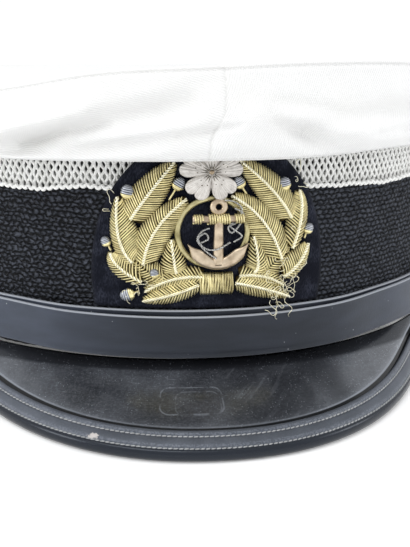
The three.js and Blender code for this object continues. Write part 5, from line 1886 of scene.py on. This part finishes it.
        stamens = tubes(self.on(flat, high - 0.11 * way), outward(flat[..., 0]), 0.08, None, 4, finish=2, tone=0.7)
        flat = flat[:, -1]
        normal = outward(flat[:, 0])
        upright = np.broadcast_to([0.0, 0.0, 1.0], normal.shape)
        axes = np.stack([np.cross(upright, normal), upright, normal], 1)
        dots = copies(capsule(0.2, 0.2), self.on(flat, high - 0.1 * reach), axes, finish=2, tone=0.9)
        return Shape.joined([petals, boss, stamens, dots])

    def loose_threads(self) -> Shape:
        """Frayed wires: short wandering loops that have come away at the wreath's edge."""
        rng = np.random.default_rng(21)
        starts = np.concatenate([
            np.stack([rng.uniform(left, right, number), rng.uniform(foot, head, number)], -1)
            for left, right, foot, head, number in self.frayed
        ])
        count = len(starts)
        t = np.linspace(0, 1, 26)
        size = rng.uniform(0.7, 1.8, (count, 1))
        heading = rng.uniform(0, 2 * np.pi, (count, 1))
        bend = rng.uniform(3, 7, (count, 1)) * rng.choice([-1, 1], (count, 1))
        hanging, hung = np.array(self.hanging), len(self.hanging)
        starts[:hung], size[:hung], heading[:hung], bend[:hung] = hanging[:, :2], 1.5, -np.pi / 2, hanging[:, 2:]
        angle = heading + bend * t + 0.8 * np.sin(t * 9 + heading)
        step = np.stack([np.cos(angle), np.sin(angle)], -1) * size[..., None] * 0.16
        flat = starts[:, None] + np.cumsum(step, 1)
        seat = np.where(flat[..., 1] < -30.2, 3.1, 1.3)
        out = seat + rng.uniform(0.2, 1.2, (count, 1)) * np.sin(np.pi * t)
        tone = rng.random(count) * 0.5 + 0.5
        return tubes(self.on(flat, out), outward(flat[..., 0]), 0.09, None, 4, tone=tone)

    def build(self) -> None:
        """Makes all the badge's pieces."""
        dress(self.ground(), "badge_felt", [Felt().material()], ["badge_ground"])
        wire, copper = Stuff.GOLD.material, Stuff.COPPER.material
        gold = [Stuff.PADDING.material, wire, Stuff.PURL.material]
        silver = [Stuff.STRIPED.material, wire]
        for side, leaves, buds in (
            ("left", self.left_leaves, self.left_buds), ("right", self.right_leaves, self.right_buds),
        ):
            for i, leaf in enumerate(leaves):
                name = f"leaf_{side}_{i + 1}"
                dress(self.leaf(leaf, 0.55 - 0.1 * i, 30 + i), f"wreath_{name}", gold, [name])
            for i, bud in enumerate(buds):
                name = f"bud_{side}_{i + 1}"
                dress(self.bud(bud, 0.1), f"wreath_{name}", silver, [name])
        dress(self.tie(), "wreath_tie", [wire], ["badge_tie"])
        ring = self.hoop(self.spot(self.ring_middle), self.ring_radius, 0.8, 0.6, 0.0, 120)
        dress(ring, "wreath_ring", [Stuff.OLIVE.material], ["badge_ring"])
        dress(self.anchor(), "gilt_anchor", [copper, wire], ["anchor"])
        dress(self.anchor_rope(), "anchor_twine", [Stuff.SILVER.material], ["anchor_rope"])
        petals = [Petals().material(), copper, Stuff.PADDING.material]
        dress(self.blossom(), "silver_blossom", petals, ["blossom"])
        dress(self.loose_threads(), "loose_wires", [Stuff.PURL.material])
        filling = Shape.joined([self.leaf(leaf, -0.35, 60 + i, i < 2) for i, leaf in enumerate(self.filling)])
        dress(filling, "wreath_filling", gold)


@dataclass
class Studio:
    """Camera at the photograph's angle, white floor and soft lights."""

    target: tuple[float, float, float] = (13.378, 0.0, -51.017)
    distance: float = 374.407
    azimuth: float = math.radians(-7.933)
    elevation: float = math.radians(16.181)
    roll: float = math.radians(0.838)
    lens: float = 1000.0 / 547.0 * 36.0
    floor: float = 20.0

    def stand(self, name: str, data: bpy.types.ID, columns: Sequence[Array]) -> bpy.types.Object:
        """Adds an object whose three axes and place are the columns."""
        matrix = np.eye(4)
        matrix[:3] = np.stack(columns, 1)
        thing = bpy.data.objects.new(name, data)
        thing.matrix_world = Matrix(matrix.tolist())
        bpy.context.scene.collection.objects.link(thing)
        return thing

    def camera(self) -> None:
        """Sets the camera: its back vector, right and up come from its angles, then it rolls."""
        az, el = self.azimuth, self.elevation
        back = np.array([math.sin(az) * math.cos(el), -math.cos(az) * math.cos(el), math.sin(el)])
        right = np.array([math.cos(az), math.sin(az), 0.0])
        up = np.cross(back, right)
        level = math.cos(self.roll) * right + math.sin(self.roll) * up
        upright = math.cos(self.roll) * up - math.sin(self.roll) * right
        place = CAP.placed(np.array(self.target) + back * self.distance)
        data = bpy.data.cameras.new("camera")
        data.lens, data.sensor_width, data.clip_start = self.lens, 36.0, 0.01
        columns = [*(CAP.turned(v) for v in (level, upright, back)), place]
        bpy.context.scene.camera = self.stand("camera", data, columns)

    def lamp(self, name: str, place: Sequence[float], aim: Sequence[float], size: Sequence[float],
             power: float) -> None:
        """Adds a soft rectangular light at a place that looks at another."""
        data = bpy.data.lights.new(name, "AREA")
        data.shape, data.size, data.size_y, data.energy = "RECTANGLE", size[0], size[1], power
        back = unit(np.array(place) - np.array(aim))
        right = unit(np.cross([0.0, 0.3, 1.0], back))
        self.stand(name, data, [right, np.cross(back, right), back, place])

    def build(self) -> None:
        """Makes the camera, the floor, the surroundings and the lights."""
        self.camera()
        half = self.floor
        mesh = bpy.data.meshes.new("floor")
        corners = [(-half, -half, 0), (half, -half, 0), (half, half, 0), (-half, half, 0)]
        mesh.from_pydata(corners, [], [(0, 1, 2, 3)])
        white = Plain("white floor", (0.94, 0.94, 0.94), 0.01, 40.0, 0.8, 0.0).material()
        shader = white.node_tree.nodes["Principled BSDF"]
        shader.inputs["Emission Color"].default_value = (1.0, 1.0, 1.0, 1.0)
        shader.inputs["Emission Strength"].default_value = 0.12
        mesh.materials.append(white)
        floor = bpy.data.objects.new("floor", mesh)
        bpy.context.scene.collection.objects.link(floor)
        world = bpy.data.worlds.new("white room")
        world.use_nodes = True
        world.node_tree.nodes["Background"].inputs[0].default_value = (0.98, 0.99, 1.0, 1.0)
        world.node_tree.nodes["Background"].inputs[1].default_value = 0.97
        bpy.context.scene.world = world
        self.lamp("top light", (-0.25, -0.35, 0.9), (0.0, -0.02, 0.05), (0.5, 0.4), 2.2)
        self.lamp("left light", (-0.8, -0.35, 0.35), (0.0, -0.05, 0.04), (0.3, 0.4), 2.0)
        self.lamp("right light", (0.8, -0.25, 0.4), (0.0, -0.05, 0.04), (0.3, 0.4), 1.6)
        bpy.context.scene.view_settings.view_transform = "Standard"


def main() -> None:
    """Builds the cap, then the studio."""
    logging.basicConfig(level=logging.INFO, format="%(message)s")
    for part in (Bands(), Net(), Crown(), Peak(), Strap(), Badge(), Studio()):
        part.build()
        log.info("built %s", type(part).__name__)


if __name__ == "__main__":
    main()
